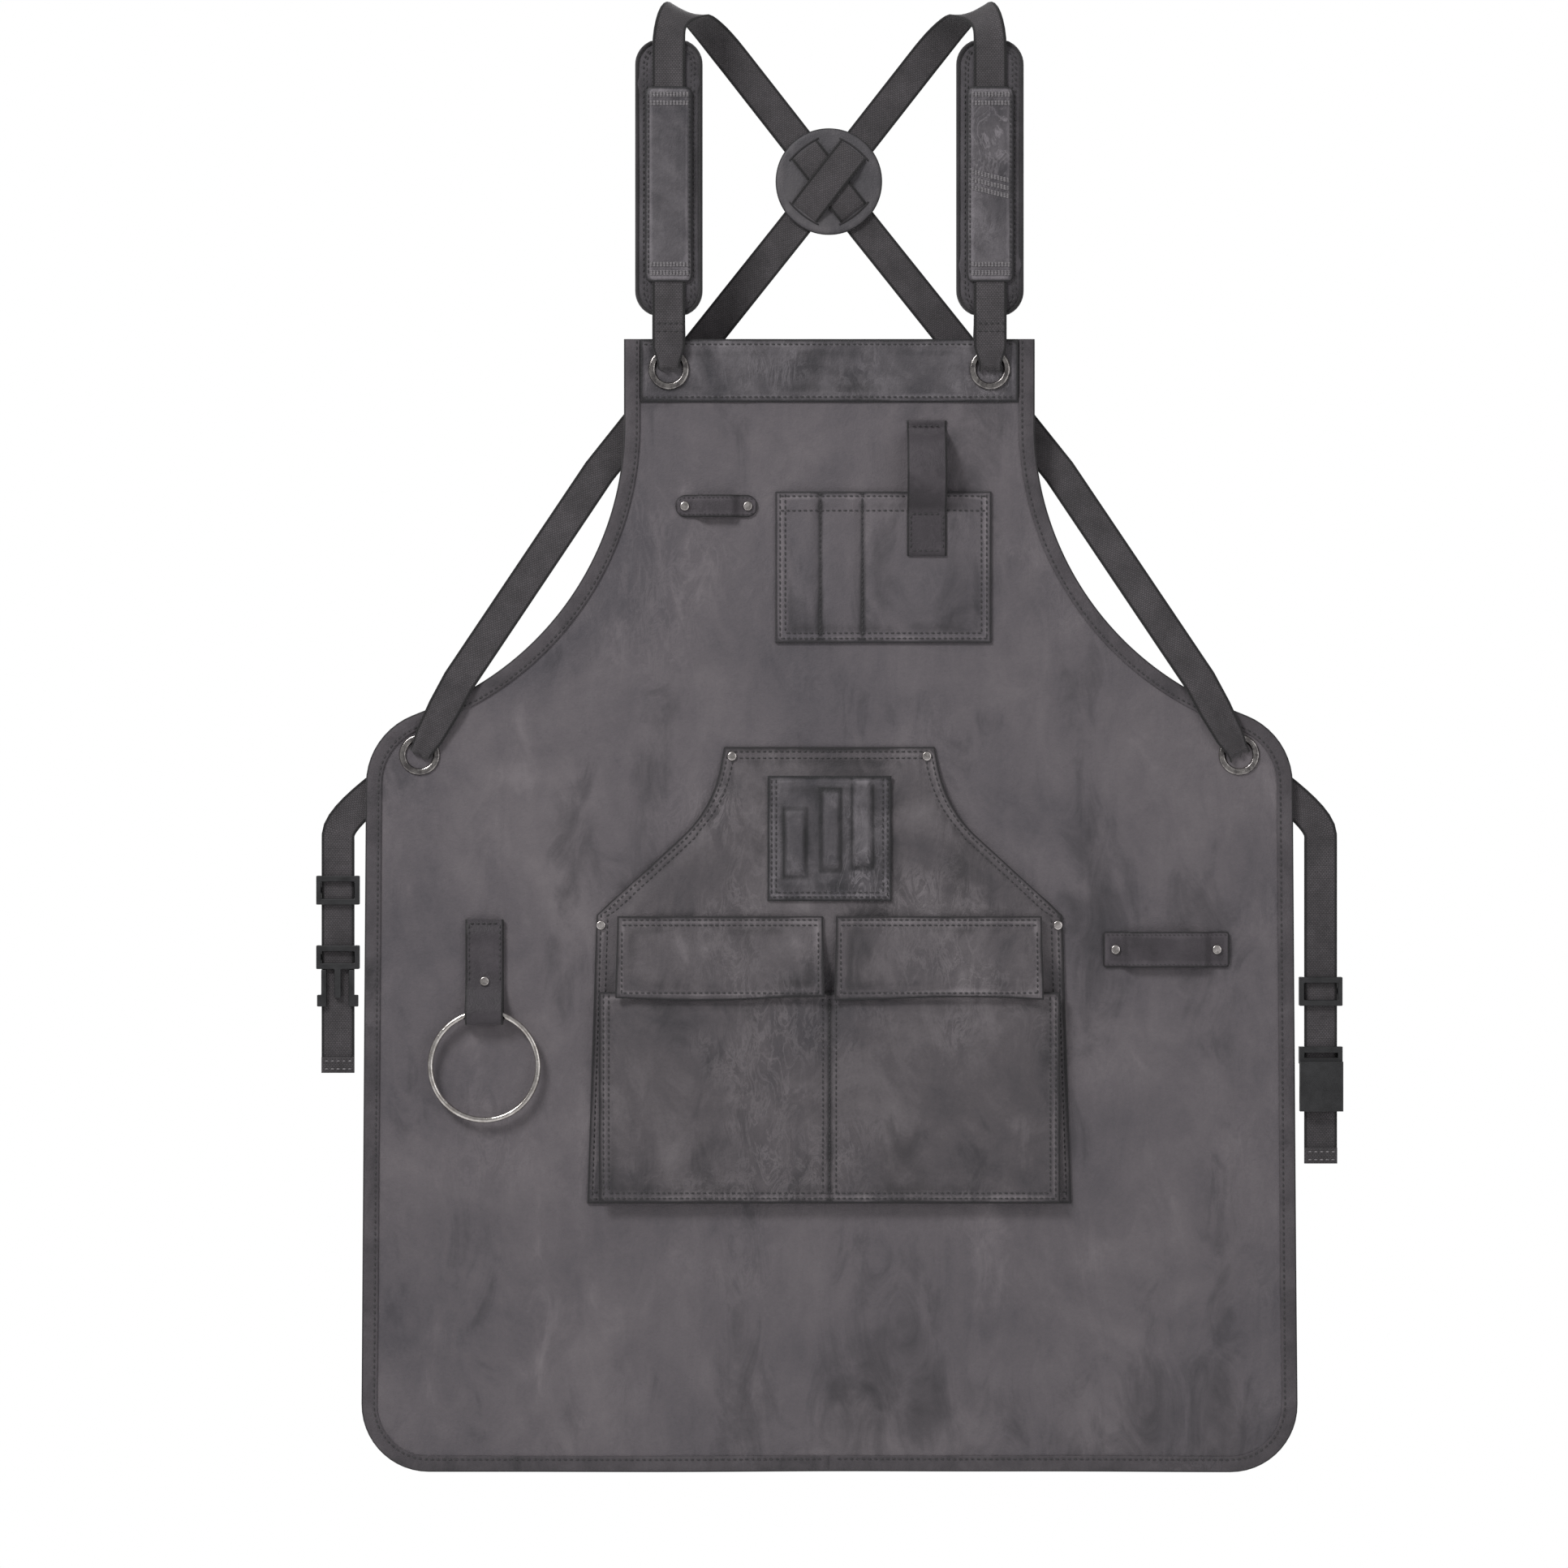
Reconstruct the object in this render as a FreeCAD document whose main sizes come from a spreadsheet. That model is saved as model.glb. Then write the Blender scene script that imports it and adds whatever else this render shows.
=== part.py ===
import FreeCAD, Part
import math
import os
import Sketcher
from FreeCAD import Rotation, Vector

# A work apron with crossed back straps. Millimetres, +Z up, the wearer's front faces -Y.
# The origin is the centre of the disc where the two back straps cross.

DRIVING = {
    # leather panel
    "panel_back": -44, "leather": 2, "bib_top": -125, "bib_half": 155, "armpit_level": -347,
    "hip_half": 351, "hip_level": -426, "hem_half": 355, "hem_level": -985,
    "armhole_radius": 232, "hip_radius": 55, "hem_radius": 50,
    "tape_width": 11, "tape": 1.2, "tape_gap": 0.3, "band_height": 48,
    # pockets
    "seam": 8, "slack": 4.6, "deep_slack": 6, "divider": 3,
    "chest_low": -356, "chest_height": 115, "chest_left": -41, "chest_width": 164,
    "chest_first": 34, "chest_second": 32,
    "base_top": -435, "base_top_half": 80, "base_neck": -482, "base_neck_half": 89,
    "base_shoulder": -563, "base_shoulder_half": 177, "base_bottom": -782, "base_bottom_half": 184,
    "base_radius": 95, "base_hem": 14,
    "pen_low": -552, "pen_height": 95, "pen_half": 47,
    "lower_mouth": -621, "lower_gap": 4, "lower_inset": 9,
    "flap_gap": 5, "flap_side": 161, "flap_top": -563.5, "flap_seam": 9, "flap_drop": 53,
    "flap_clear": 0.4, "flap_lean": 1.2,
    "rivet_inset": 6, "rivet_room": 1, "rivet_drop": 7.5,
    # loops and tabs
    "tab_foot": 14, "tab_ramp": 6,
    "chest_tab_x": -86, "chest_tab_level": -252, "chest_tab_width": 62, "chest_tab_height": 17,
    "chest_tab_corner": 8, "chest_tab_inset": 7,
    "hip_tab_x": 256, "hip_tab_level": -589, "hip_tab_width": 96, "hip_tab_height": 27,
    "hip_tab_corner": 2.5, "hip_tab_inset": 9.5,
    "loop_x": 74, "loop_width": 30, "loop_top": -187, "loop_head": 9, "loop_drop": 55,
    "loop_tail": 39, "loop_bulge": 24,
    "ring_tab_x": -262, "ring_tab_top": -566, "ring_tab_width": 29, "ring_tab_length": 73,
    "ring_tab_taper": 18, "ring_rivet_level": -613,
    "ring_radius": 40.9, "ring_wire": 2.25, "ring_play": 0.4,
    # eyelets and rivets
    "eyelet_bore": 10.3, "eyelet_wall": 1, "eyelet_outer": 15.6, "eyelet_rise": 1.8,
    "eyelet_roll": 1.4, "eyelet_edge": 0.8, "eyelet_dome": 1.6, "washer": 1, "washer_inset": 1.8,
    "bib_eyelet_level": -148,
    "hip_eyelet_inset": 28.05, "hip_eyelet_angle": 55.6,
    "rivet_head": 3.6, "rivet_post": 1.5, "rivet_rise": 1.8, "rivet_back": 0.8,
    "rivet_foot": 2.8, "rivet_edge": 1.1,
    "hole_clear": 0.1,
    # straps
    "webbing_width": 25, "webbing": 1.8, "gathered_width": 17, "shoulder_inset": 33,
    "front_strap": -53, "rear_strap": -40.5, "hip_strap": -50.5, "bend": 4.5,
    "cross_angle": 38, "crest_start": 95, "crest_end": 115, "crest_pull": 148,
    "sewn_end": -110, "armhole_level": -225, "armhole_depth": -30,
    "hip_cross_inset": 30, "hip_cross_rise": 56, "exit_angle": 46, "exit_pull": 50,
    # shoulder pads
    "pad_low": -108, "pad_length": 211, "pad_width": 51, "pad_thick": 9, "pad_corner": 19,
    "overlay_low": -82, "overlay_length": 148, "overlay_width": 36, "overlay": 1.2,
    "overlay_corner": 5,
    # cross disc
    "disc_radius": 41, "disc": 3, "slot_start": 23, "slot_width": 12, "slot_play": 1,
    "layer_gap": 0.4, "rear_gap": 0.9, "dip_run": 11, "under_dip": 24, "over_dip": 22,
    # hanging tails
    "tail_clear": 1.15, "tail_top": -507, "tail_gap": 1.2, "left_tail_end": -683,
    "right_tail_end": -752, "tail_hem": 12,
    # adjusters and buckle
    "rail": 3.5, "bar_height": 4.5, "run_clear": 0.35, "bar_thick": 3.4, "glide_height": 22,
    "left_glide_top": -533, "right_glide_top": -610, "plug_top": -586, "plug_height": 18,
    "plastic_edge": 0.8, "tongue_half": 2.5, "tongue_length": 22, "prong_root": 0.5,
    "prong_inner": 8.5, "prong_outer": 12.5, "prong_length": 28, "prong_hook": 3.2,
    "hook_length": 9, "prong_thick": 3.4,
    "socket_top": -663, "socket_frame": 13, "socket_length": 36, "socket_wall": 1.8,
    "socket_cavity": 4.6, "window_length": 13, "window_end": 6,
}


class Dim:
    """A length that carries both its value and the spreadsheet formula it comes from."""

    def __init__(self, value, text):
        self.value = float(value)
        self.text = text

    def __add__(self, other):
        other = as_dim(other)
        return Dim(self.value + other.value, f"({self.text} + {other.text})")

    def __radd__(self, other):
        return as_dim(other) + self

    def __sub__(self, other):
        other = as_dim(other)
        return Dim(self.value - other.value, f"({self.text} - {other.text})")

    def __rsub__(self, other):
        return as_dim(other) - self

    def __mul__(self, other):
        other = as_dim(other)
        return Dim(self.value * other.value, f"({self.text} * {other.text})")

    def __rmul__(self, other):
        return self * other

    def __truediv__(self, other):
        other = as_dim(other)
        return Dim(self.value / other.value, f"({self.text} / {other.text})")

    def __neg__(self):
        return Dim(-self.value, f"(0 - {self.text})")


def as_dim(number):
    return number if isinstance(number, Dim) else Dim(number, repr(float(number)))


def size(name):
    return Dim(DRIVING[name], f"Sizes.{name}")


doc = FreeCAD.newDocument("welding_apron")
sheet = doc.addObject("Spreadsheet::Sheet", "Sizes")
for row, (alias, number) in enumerate(DRIVING.items(), start=1):
    sheet.set(f"A{row}", alias)
    sheet.set(f"B{row}", str(number))
    sheet.setAlias(f"B{row}", alias)
doc.recompute()

nodes = []


def keep(item, label):
    """Mark a finished sub-part: its label names its file."""
    item.Label = label
    nodes.append(item)
    return item


def bind(item, prop, dim):
    item.setExpression(prop, as_dim(dim).text)


def place(item, x=None, y=None, z=None):
    for prop, dim in (("x", x), ("y", y), ("z", z)):
        if dim is not None:
            bind(item, f"Placement.Base.{prop}", dim)


# ---------------------------------------------------------------- sketches and features

def new_sketch(body, plane, name):
    sketch = body.newObject("Sketcher::SketchObject", name)
    support = [item for item in body.Origin.OriginFeatures if item.Role == plane][0]
    sketch.AttachmentSupport = [(support, "")]
    sketch.MapMode = "FlatFace"
    return sketch


def pin_point(sketch, geometry, end, x, y):
    """Hold one point of a sketch at formulas measured from the sketch's origin."""
    for kind, axis, dim in (("DistanceX", -2, x), ("DistanceY", -1, y)):
        dim = as_dim(dim)
        if abs(dim.value) < 1e-9:
            sketch.addConstraint(Sketcher.Constraint("PointOnObject", geometry, end, axis))
            continue
        index = sketch.addConstraint(Sketcher.Constraint(kind, -1, 1, geometry, end, dim.value))
        sketch.setExpression(f"Constraints[{index}]", dim.text)


def polygon(sketch, corners):
    """A closed outline of straight edges; every corner is bound to the sheet."""
    first = len(sketch.Geometry)
    count = len(corners)
    points = [Vector(as_dim(x).value, as_dim(y).value, 0) for x, y in corners]
    for index in range(count):
        edge = Part.LineSegment(points[index], points[(index + 1) % count])
        sketch.addGeometry(edge, False)
    for index in range(count):
        following = first + (index + 1) % count
        sketch.addConstraint(Sketcher.Constraint("Coincident", first + index, 2, following, 1))
        pin_point(sketch, first + index, 1, *corners[index])


def circle(sketch, x, y, radius):
    centre = Vector(as_dim(x).value, as_dim(y).value, 0)
    index = sketch.addGeometry(Part.Circle(centre, Vector(0, 0, 1), as_dim(radius).value), False)
    pin_point(sketch, index, 3, x, y)
    rule = sketch.addConstraint(Sketcher.Constraint("Radius", index, as_dim(radius).value))
    sketch.setExpression(f"Constraints[{rule}]", as_dim(radius).text)


def new_body(label):
    return doc.addObject("PartDesign::Body", label)


def pad(body, sketch, length, midplane=False):
    feature = body.newObject("PartDesign::Pad", "Pad")
    feature.Profile = sketch
    feature.Midplane = midplane
    bind(feature, "Length", length)
    doc.recompute()
    return feature


def pocket(body, sketch, depth=None):
    """Cut forwards from the plane of the sketch; with no depth the cut goes right through."""
    before = body.Shape.Volume
    feature = body.newObject("PartDesign::Pocket", "Pocket")
    feature.Profile = sketch
    feature.Reversed = True
    if depth is None:
        feature.Type = 1
    else:
        bind(feature, "Length", depth)
    doc.recompute()
    if body.Shape.Volume >= before - 1e-6:
        raise RuntimeError(f"{body.Label}: a pocket removes nothing")
    return feature


def upright_edges(shape, corners):
    """Names of the edges that run along Y through the given (x, z) corners."""
    found = []
    for number, edge in enumerate(shape.Edges, start=1):
        start, end = edge.Vertexes[0].Point, edge.Vertexes[-1].Point
        if abs(start.x - end.x) > 1e-4 or abs(start.z - end.z) > 1e-4:
            continue
        for x, z in corners:
            if math.hypot(start.x - as_dim(x).value, start.z - as_dim(z).value) < 1e-3:
                found.append(f"Edge{number}")
    return found


def fillet(body, names, radius):
    base = body.Tip
    feature = body.newObject("PartDesign::Fillet", "Fillet")
    feature.Base = (base, names)
    bind(feature, "Radius", radius)
    doc.recompute()
    return feature


def round_corners(body, corners, radius):
    fillet(body, upright_edges(body.Tip.Shape, corners), radius)


def leather_patch(label, corners, back, thickness):
    """A flat piece of leather: an outline in the XZ plane, thickened towards the front."""
    body = new_body(label)
    sketch = new_sketch(body, "XZ_Plane", "Outline")
    polygon(sketch, corners)
    pad(body, sketch, thickness)
    place(body, y=back)
    return keep(body, label)


def rectangle(low_x, high_x, low_z, high_z):
    return [(low_x, low_z), (high_x, low_z), (high_x, high_z), (low_x, high_z)]


def drill(body, centres, radius):
    sketch = new_sketch(body, "XZ_Plane", "Holes")
    for x, z in centres:
        circle(sketch, x, z, radius)
    pocket(body, sketch)


def pouch(label, low_x, high_x, low_z, high_z, back, slack, splits=()):
    """A patch pocket: a sewn rim, a raised front and a hollow that is open at the top."""
    leather, seam = size("leather"), size("seam")
    body = leather_patch(label, rectangle(low_x, high_x, low_z, high_z), back, leather)
    front = new_sketch(body, "XZ_Plane", "Front")
    polygon(front, rectangle(low_x + seam, high_x - seam, low_z + seam, high_z))
    pad(body, front, slack + leather)
    hollow = new_sketch(body, "XZ_Plane", "Hollow")
    walls = [low_x + seam + leather]
    for split in splits:
        walls += [split - size("divider") / 2, split + size("divider") / 2]
    walls.append(high_x - seam - leather)
    for left, right in zip(walls[::2], walls[1::2]):
        polygon(hollow, rectangle(left, right, low_z + seam + leather, high_z + leather))
    pocket(body, hollow, slack)
    return body


# ---------------------------------------------------------------- primitives

def box(name, low, length):
    item = doc.addObject("Part::Box", name)
    for prop, dim in zip(("Length", "Width", "Height"), length):
        bind(item, prop, dim)
    place(item, *low)
    return item


def cylinder_along(name, axis, radius, height, at):
    """A cylinder along X or Y that starts at the given point."""
    item = doc.addObject("Part::Cylinder", name)
    bind(item, "Radius", radius)
    bind(item, "Height", height)
    turn = Rotation(Vector(0, 1, 0), 90) if axis == "X" else Rotation(Vector(1, 0, 0), -90)
    item.Placement.Rotation = turn
    place(item, *at)
    return item


def fuse(name, pieces):
    item = doc.addObject("Part::MultiFuse", name)
    item.Shapes = pieces
    item.Refine = True
    return item


def cut(name, base, tool):
    item = doc.addObject("Part::Cut", name)
    item.Base = base
    item.Tool = tool
    item.Refine = True
    return item


def group(label, pieces):
    """Identical fasteners kept together as separate solids in one node."""
    item = doc.addObject("Part::Compound", label)
    item.Links = pieces
    return keep(item, label)


def feature(label, shape):
    item = doc.addObject("Part::Feature", label)
    item.Shape = shape
    item.Placement = FreeCAD.Placement()
    return keep(item, label)


def eased(label, base, radius):
    """Break every sharp edge of a moulded piece by the same small radius."""
    doc.recompute()
    item = doc.addObject("Part::Fillet", label)
    item.Base = base
    amount = size(radius).value
    item.Edges = [(number, amount, amount) for number in range(1, len(base.Shape.Edges) + 1)]
    doc.recompute()
    return keep(item, label)


def root(dim):
    return Dim(math.sqrt(dim.value), f"sqrt({dim.text})")


def larger(one, other):
    return Dim(max(one.value, other.value), f"max({one.text}; {other.text})")


def trig_of(angle, trig):
    """The sine or cosine of an angle in degrees from the sheet."""
    return Dim(getattr(math, trig)(math.radians(angle.value)), f"{trig}({angle.text} * 1 deg)")


def rounding_centre(corner, before, after, radius):
    """Where the centre of an outline's rounded corner lies."""
    runs = []
    for neighbour in (before, after):
        along, up = neighbour[0] - corner[0], neighbour[1] - corner[1]
        length = root(along * along + up * up)
        runs.append((along / length, up / length))
    (first_x, first_z), (second_x, second_z) = runs
    reach = radius / (first_x * second_z - first_z * second_x)
    return corner[0] + (first_x + second_x) * reach, corner[1] + (first_z + second_z) * reach


def turned(label, profile, rounded, radius):
    """A ring or stud: a (radius, depth) profile turned about Y, then rounded where asked."""
    body = new_body(label)
    sketch = new_sketch(body, "XY_Plane", "Profile")
    polygon(sketch, profile)
    spin = body.newObject("PartDesign::Revolution", "Revolution")
    spin.Profile = sketch
    spin.ReferenceAxis = (sketch, ["V_Axis"])
    spin.Angle = 360
    doc.recompute()
    names = []
    for number, edge in enumerate(spin.Shape.Edges, start=1):
        for radius_at, depth in rounded:
            middle = edge.BoundBox.Center
            ring = isinstance(edge.Curve, Part.Circle) and abs(edge.Curve.Axis.y) > 0.9
            if ring and abs(edge.Curve.Radius - as_dim(radius_at).value) < 1e-3:
                if abs(middle.y - as_dim(depth).value) < 1e-3:
                    names.append(f"Edge{number}")
    fillet(body, names, radius)
    return body


# ---------------------------------------------------------------- shared places

leather = size("leather")
panel_back = size("panel_back")
panel_front = panel_back - leather
base_front = panel_front - size("deep_slack") - leather
lower_front = base_front - size("slack") - leather
bib_top = size("bib_top")
shoulder_x = size("bib_half") - size("shoulder_inset")
webbing = size("webbing")
eyelet_hole = size("eyelet_bore") + size("eyelet_wall") + size("hole_clear")
rivet_hole = size("rivet_post") + size("hole_clear")
bib_eyelets = [(-shoulder_x, size("bib_eyelet_level")), (shoulder_x, size("bib_eyelet_level"))]
bib_corner = (size("bib_half"), bib_top)
armpit = (size("bib_half"), size("armpit_level"))
hip_corner = (size("hip_half"), size("hip_level"))
hem_corner = (size("hem_half"), size("hem_level"))
round_x, round_level = rounding_centre(hip_corner, armpit, hem_corner, size("hip_radius"))
eyelet_reach = size("hip_radius") - size("hip_eyelet_inset")
hip_eyelet_x = round_x + eyelet_reach * trig_of(size("hip_eyelet_angle"), "cos")
hip_eyelet_level = round_level + eyelet_reach * trig_of(size("hip_eyelet_angle"), "sin")
hip_eyelets = [(-hip_eyelet_x, hip_eyelet_level), (hip_eyelet_x, hip_eyelet_level)]
run_half = size("webbing_width") / 2 + size("run_clear")
rail = size("rail")
tail_x = (larger(size("hip_half"), size("hem_half")) + size("tape") + size("tape_gap")
          + run_half + rail + size("tail_clear"))
base_hem_x = size("base_top_half") - size("rivet_inset")
base_hem_level = size("base_top") - size("base_hem") / 2
base_side_x = size("base_shoulder_half") - size("seam") + size("rivet_head") + size("rivet_room")
base_side_level = size("base_shoulder") - size("rivet_drop")
pocket_studs = [(-base_hem_x, base_hem_level), (base_hem_x, base_hem_level),
                (-base_side_x, base_side_level), (base_side_x, base_side_level)]
sides = (("left", -1), ("right", 1))


def tab_studs(name):
    reach = size(f"{name}_width") / 2 - size(f"{name}_inset")
    middle = size(f"{name}_x")
    level = size(f"{name}_level")
    return [(middle - reach, level), (middle + reach, level)]


chest_studs = tab_studs("chest_tab")
hip_studs = tab_studs("hip_tab")
ring_studs = [(size("ring_tab_x"), size("ring_rivet_level"))]


# ---------------------------------------------------------------- panel, band and edge tape

def both_sides(half_points):
    """An outline that is the same on both sides of the wearer."""
    return half_points + [(-as_dim(x), z) for x, z in reversed(half_points)]


panel = leather_patch("apron_panel", both_sides([bib_corner, armpit, hip_corner, hem_corner]),
                      panel_back, leather)
for corner, radius in ((armpit, "armhole_radius"), (hip_corner, "hip_radius"),
                       (hem_corner, "hem_radius")):
    round_corners(panel, [corner, (-corner[0], corner[1])], size(radius))
drill(panel, bib_eyelets + hip_eyelets, eyelet_hole)
drill(panel, pocket_studs + chest_studs + hip_studs + ring_studs, rivet_hole)

band_half = size("bib_half") - size("tape_width") - size("tape_gap")
band = leather_patch("bib_band",
                     rectangle(-band_half, band_half, bib_top - size("band_height"), bib_top),
                     panel_front, leather)
drill(band, bib_eyelets, eyelet_hole)


def edge_tape(label, side):
    """Folded tape round one half of the panel's edge; the bib's top edge has none."""
    face = max(panel.Shape.Faces, key=lambda item: item.Area)
    rim = face.OuterWire
    back = size("panel_back").value
    front = back - size("leather").value
    fold = size("tape").value
    gap = size("tape_gap").value
    width = size("tape_width").value

    def slab(offset, y_back, y_front):
        outline = Part.Face(rim.makeOffset2D(offset))
        outline.translate(Vector(0, y_back - face.CenterOfMass.y, 0))
        return outline.extrude(Vector(0, y_front - y_back, 0))

    tape = slab(gap + fold, back + fold, front - fold)
    tape = tape.cut(slab(-width, back + 2 * fold, front - 2 * fold))
    tape = tape.cut(slab(gap, back, front))
    reach = 2 * size("hem_half").value
    top = size("bib_top").value
    above = Part.makeBox(2 * reach, reach, reach, Vector(-reach, -reach, top))
    open_half = size("bib_half").value - width
    across_bib = Part.makeBox(2 * open_half, reach, 3 * width,
                              Vector(-open_half, -reach, top - 2 * width))
    seam = gap if side > 0 else gap - reach
    half = Part.makeBox(reach - 2 * gap, reach, 4 * reach, Vector(seam, -reach, -3 * reach))
    return feature(label, tape.cut(above).cut(across_bib).common(half))


for name, side in sides:
    edge_tape(f"binding_{name}", side)


# ---------------------------------------------------------------- pockets

chest_splits = [size("chest_left") + size("chest_first"),
                size("chest_left") + size("chest_first") + size("chest_second")]
chest_top = size("chest_low") + size("chest_height")
pouch("chest_pocket", size("chest_left"), size("chest_left") + size("chest_width"),
      size("chest_low"), chest_top, panel_front, size("slack"), chest_splits)


def tool_base():
    """The apron-shaped patch: a raised front with a hand opening in each curved side."""
    seam, slack, hem = size("seam"), size("deep_slack"), size("base_hem")
    top, bottom = size("base_top"), size("base_bottom")
    neck = (size("base_neck_half"), size("base_neck"))
    shoulder = (size("base_shoulder_half"), size("base_shoulder"))
    outline = [(size("base_top_half"), top), neck, shoulder, (size("base_bottom_half"), bottom)]
    body = leather_patch("tool_pocket_base", both_sides(outline), panel_front, leather)
    lean = (neck[0] - size("base_top_half")) / (top - neck[1])
    slope = (neck[1] - shoulder[1]) / (shoulder[0] - neck[0])
    front_half = shoulder[0] - seam
    mouth_end = shoulder[1] + seam * slope
    foot = size("base_bottom_half") - seam
    front = [(size("base_top_half") + hem * lean, top - hem), neck, (front_half, mouth_end),
             (foot, bottom + seam)]
    raised = new_sketch(body, "XZ_Plane", "Front")
    polygon(raised, both_sides(front))
    pad(body, raised, slack + leather)
    round_corners(body, [neck, (-neck[0], neck[1])], size("base_radius"))
    beyond = size("hem_half")
    hollow = [(beyond, top - hem - leather), (beyond, mouth_end + leather),
              (front_half - leather, mouth_end + leather),
              (foot - leather, bottom + seam + leather)]
    inside = new_sketch(body, "XZ_Plane", "Hollow")
    polygon(inside, both_sides(hollow))
    pocket(body, inside, slack)
    drill(body, pocket_studs, rivet_hole)


tool_base()
pen_width = 2 * size("pen_half")
pouch("pen_pocket", -size("pen_half"), size("pen_half"), size("pen_low"),
      size("pen_low") + size("pen_height"), base_front, size("slack"),
      [-pen_width / 8, pen_width / 8])

lower_reach = size("base_bottom_half") - size("lower_inset")
for name, side in sides:
    inner, outer = size("lower_gap"), lower_reach
    low_x, high_x = (inner, outer) if side > 0 else (-outer, -inner)
    pouch(f"lower_pocket_{name}", low_x, high_x, size("base_bottom") + leather / 2,
          size("lower_mouth"), base_front, size("slack"))


def flap(name, side):
    """A sewn strip, and below it the leaf that lifts about the strip's lower front edge."""
    low_x = size("flap_gap") if side > 0 else -size("flap_side")
    high_x = size("flap_side") if side > 0 else -size("flap_gap")
    strip_low = size("flap_top") - size("flap_seam")
    leather_patch(f"flap_seam_{name}", rectangle(low_x, high_x, strip_low, size("flap_top")),
                  base_front, leather)
    clear = size("flap_clear")
    top = strip_low - clear
    bottom = top - size("flap_drop")
    hung = base_front - clear
    resting = lower_front - size("flap_lean")
    leaf = new_body(f"flap_{name}")
    profile = new_sketch(leaf, "YZ_Plane", "Profile")
    polygon(profile, [(hung, top), (resting, bottom), (resting - leather, bottom),
                      (hung - leather, top)])
    pad(leaf, profile, size("flap_side") - size("flap_gap"))
    place(leaf, x=low_x)
    keep(leaf, f"flap_{name}")


for name, side in sides:
    flap(name, side)


# ---------------------------------------------------------------- tabs, loop and ring

def bridge_tab(label):
    """A strip riveted at both ends with a raised middle that takes a tool or a clip."""
    half = size(f"{label}_width") / 2
    foot = half - size("tab_foot")
    crown = foot - size("tab_ramp")
    rise = size("slack")
    height = size(f"{label}_height")
    under = [(half, 0), (foot, 0), (crown, -rise)]
    over = [(half, -leather), (foot, -leather), (crown, -rise - leather)]
    profile = under + [(-x, y) for x, y in reversed(under)]
    profile += [(-x, y) for x, y in over] + list(reversed(over))
    body = new_body(label)
    sketch = new_sketch(body, "XY_Plane", "Profile")
    polygon(sketch, profile)
    pad(body, sketch, height, midplane=True)
    ends = [(x, z) for x in (-half, half) for z in (-height / 2, height / 2)]
    round_corners(body, ends, size(f"{label}_corner"))
    reach = half - size(f"{label}_inset")
    drill(body, [(-reach, 0), (reach, 0)], rivet_hole)
    place(body, x=size(f"{label}_x"), y=panel_front, z=size(f"{label}_level"))
    keep(body, label)


bridge_tab("chest_tab")
bridge_tab("hip_tab")


def hammer_loop():
    """A strap sewn above the chest pocket, arched out, and sewn again on the pocket's front."""
    thick = size("leather").value
    half = size("loop_width").value / 2
    top = size("loop_top").value
    head = top - size("loop_head").value
    landing = head - size("loop_drop").value
    foot = landing - size("loop_tail").value
    start = panel_front.value
    end = start - size("slack").value - thick
    crown = start - size("loop_bulge").value
    middle = (head + landing) / 2
    x = size("loop_x").value - half

    def at(y, z):
        return Vector(x, y, z)

    inner = Part.Arc(at(start, head), at(crown + thick, middle), at(end, landing))
    outer = Part.Arc(at(end - thick, landing), at(crown, middle), at(start - thick, head))
    edges = [Part.makeLine(at(start, top), at(start, head)), inner.toShape(),
             Part.makeLine(at(end, landing), at(end, foot)),
             Part.makeLine(at(end, foot), at(end - thick, foot)),
             Part.makeLine(at(end - thick, foot), at(end - thick, landing)), outer.toShape(),
             Part.makeLine(at(start - thick, head), at(start - thick, top)),
             Part.makeLine(at(start - thick, top), at(start, top))]
    return feature("hammer_loop", Part.Face(Part.Wire(edges)).extrude(Vector(2 * half, 0, 0)))


hammer_loop()

tab_half = size("ring_tab_width") / 2
ring_radius = size("ring_radius")
wire_dip = ring_radius - root(ring_radius * ring_radius - tab_half * tab_half)
eye_radius = size("ring_wire") + wire_dip + size("ring_play")
eye_level = size("ring_tab_top") - size("ring_tab_length")
eye_y = panel_front - leather - eye_radius


def ring_tab():
    """A strip doubled over the ring's wire and riveted through both layers."""
    body = new_body("ring_tab_fold")
    sketch = new_sketch(body, "YZ_Plane", "Profile")
    top = size("ring_tab_top")
    swell = -2 * (eye_radius + leather)
    polygon(sketch, [(0, top), (0, eye_level), (swell, eye_level),
                     (-2 * leather, eye_level + size("ring_tab_taper")), (-2 * leather, top)])
    pad(body, sketch, size("ring_tab_width"), midplane=True)
    drill(body, [(0, size("ring_rivet_level"))], rivet_hole)
    place(body, x=size("ring_tab_x"), y=panel_front)
    start = size("ring_tab_x") - tab_half
    round_end = cylinder_along("RingFold", "X", eye_radius + leather, size("ring_tab_width"),
                               (start, eye_y, eye_level))
    eye = cylinder_along("RingEye", "X", eye_radius, size("ring_tab_width") + 2 * leather,
                         (start - leather, eye_y, eye_level))
    keep(cut("RingTab", fuse("RingTabBlank", [body, round_end]), eye), "ring_tab")


ring_tab()
ring = doc.addObject("Part::Torus", "TowelRing")
bind(ring, "Radius1", ring_radius)
bind(ring, "Radius2", size("ring_wire"))
ring.Placement.Rotation = Rotation(Vector(1, 0, 0), 90)
place(ring, size("ring_tab_x"), eye_y, eye_level + wire_dip - ring_radius)
keep(ring, "towel_ring")


# ---------------------------------------------------------------- eyelets and rivets

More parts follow.
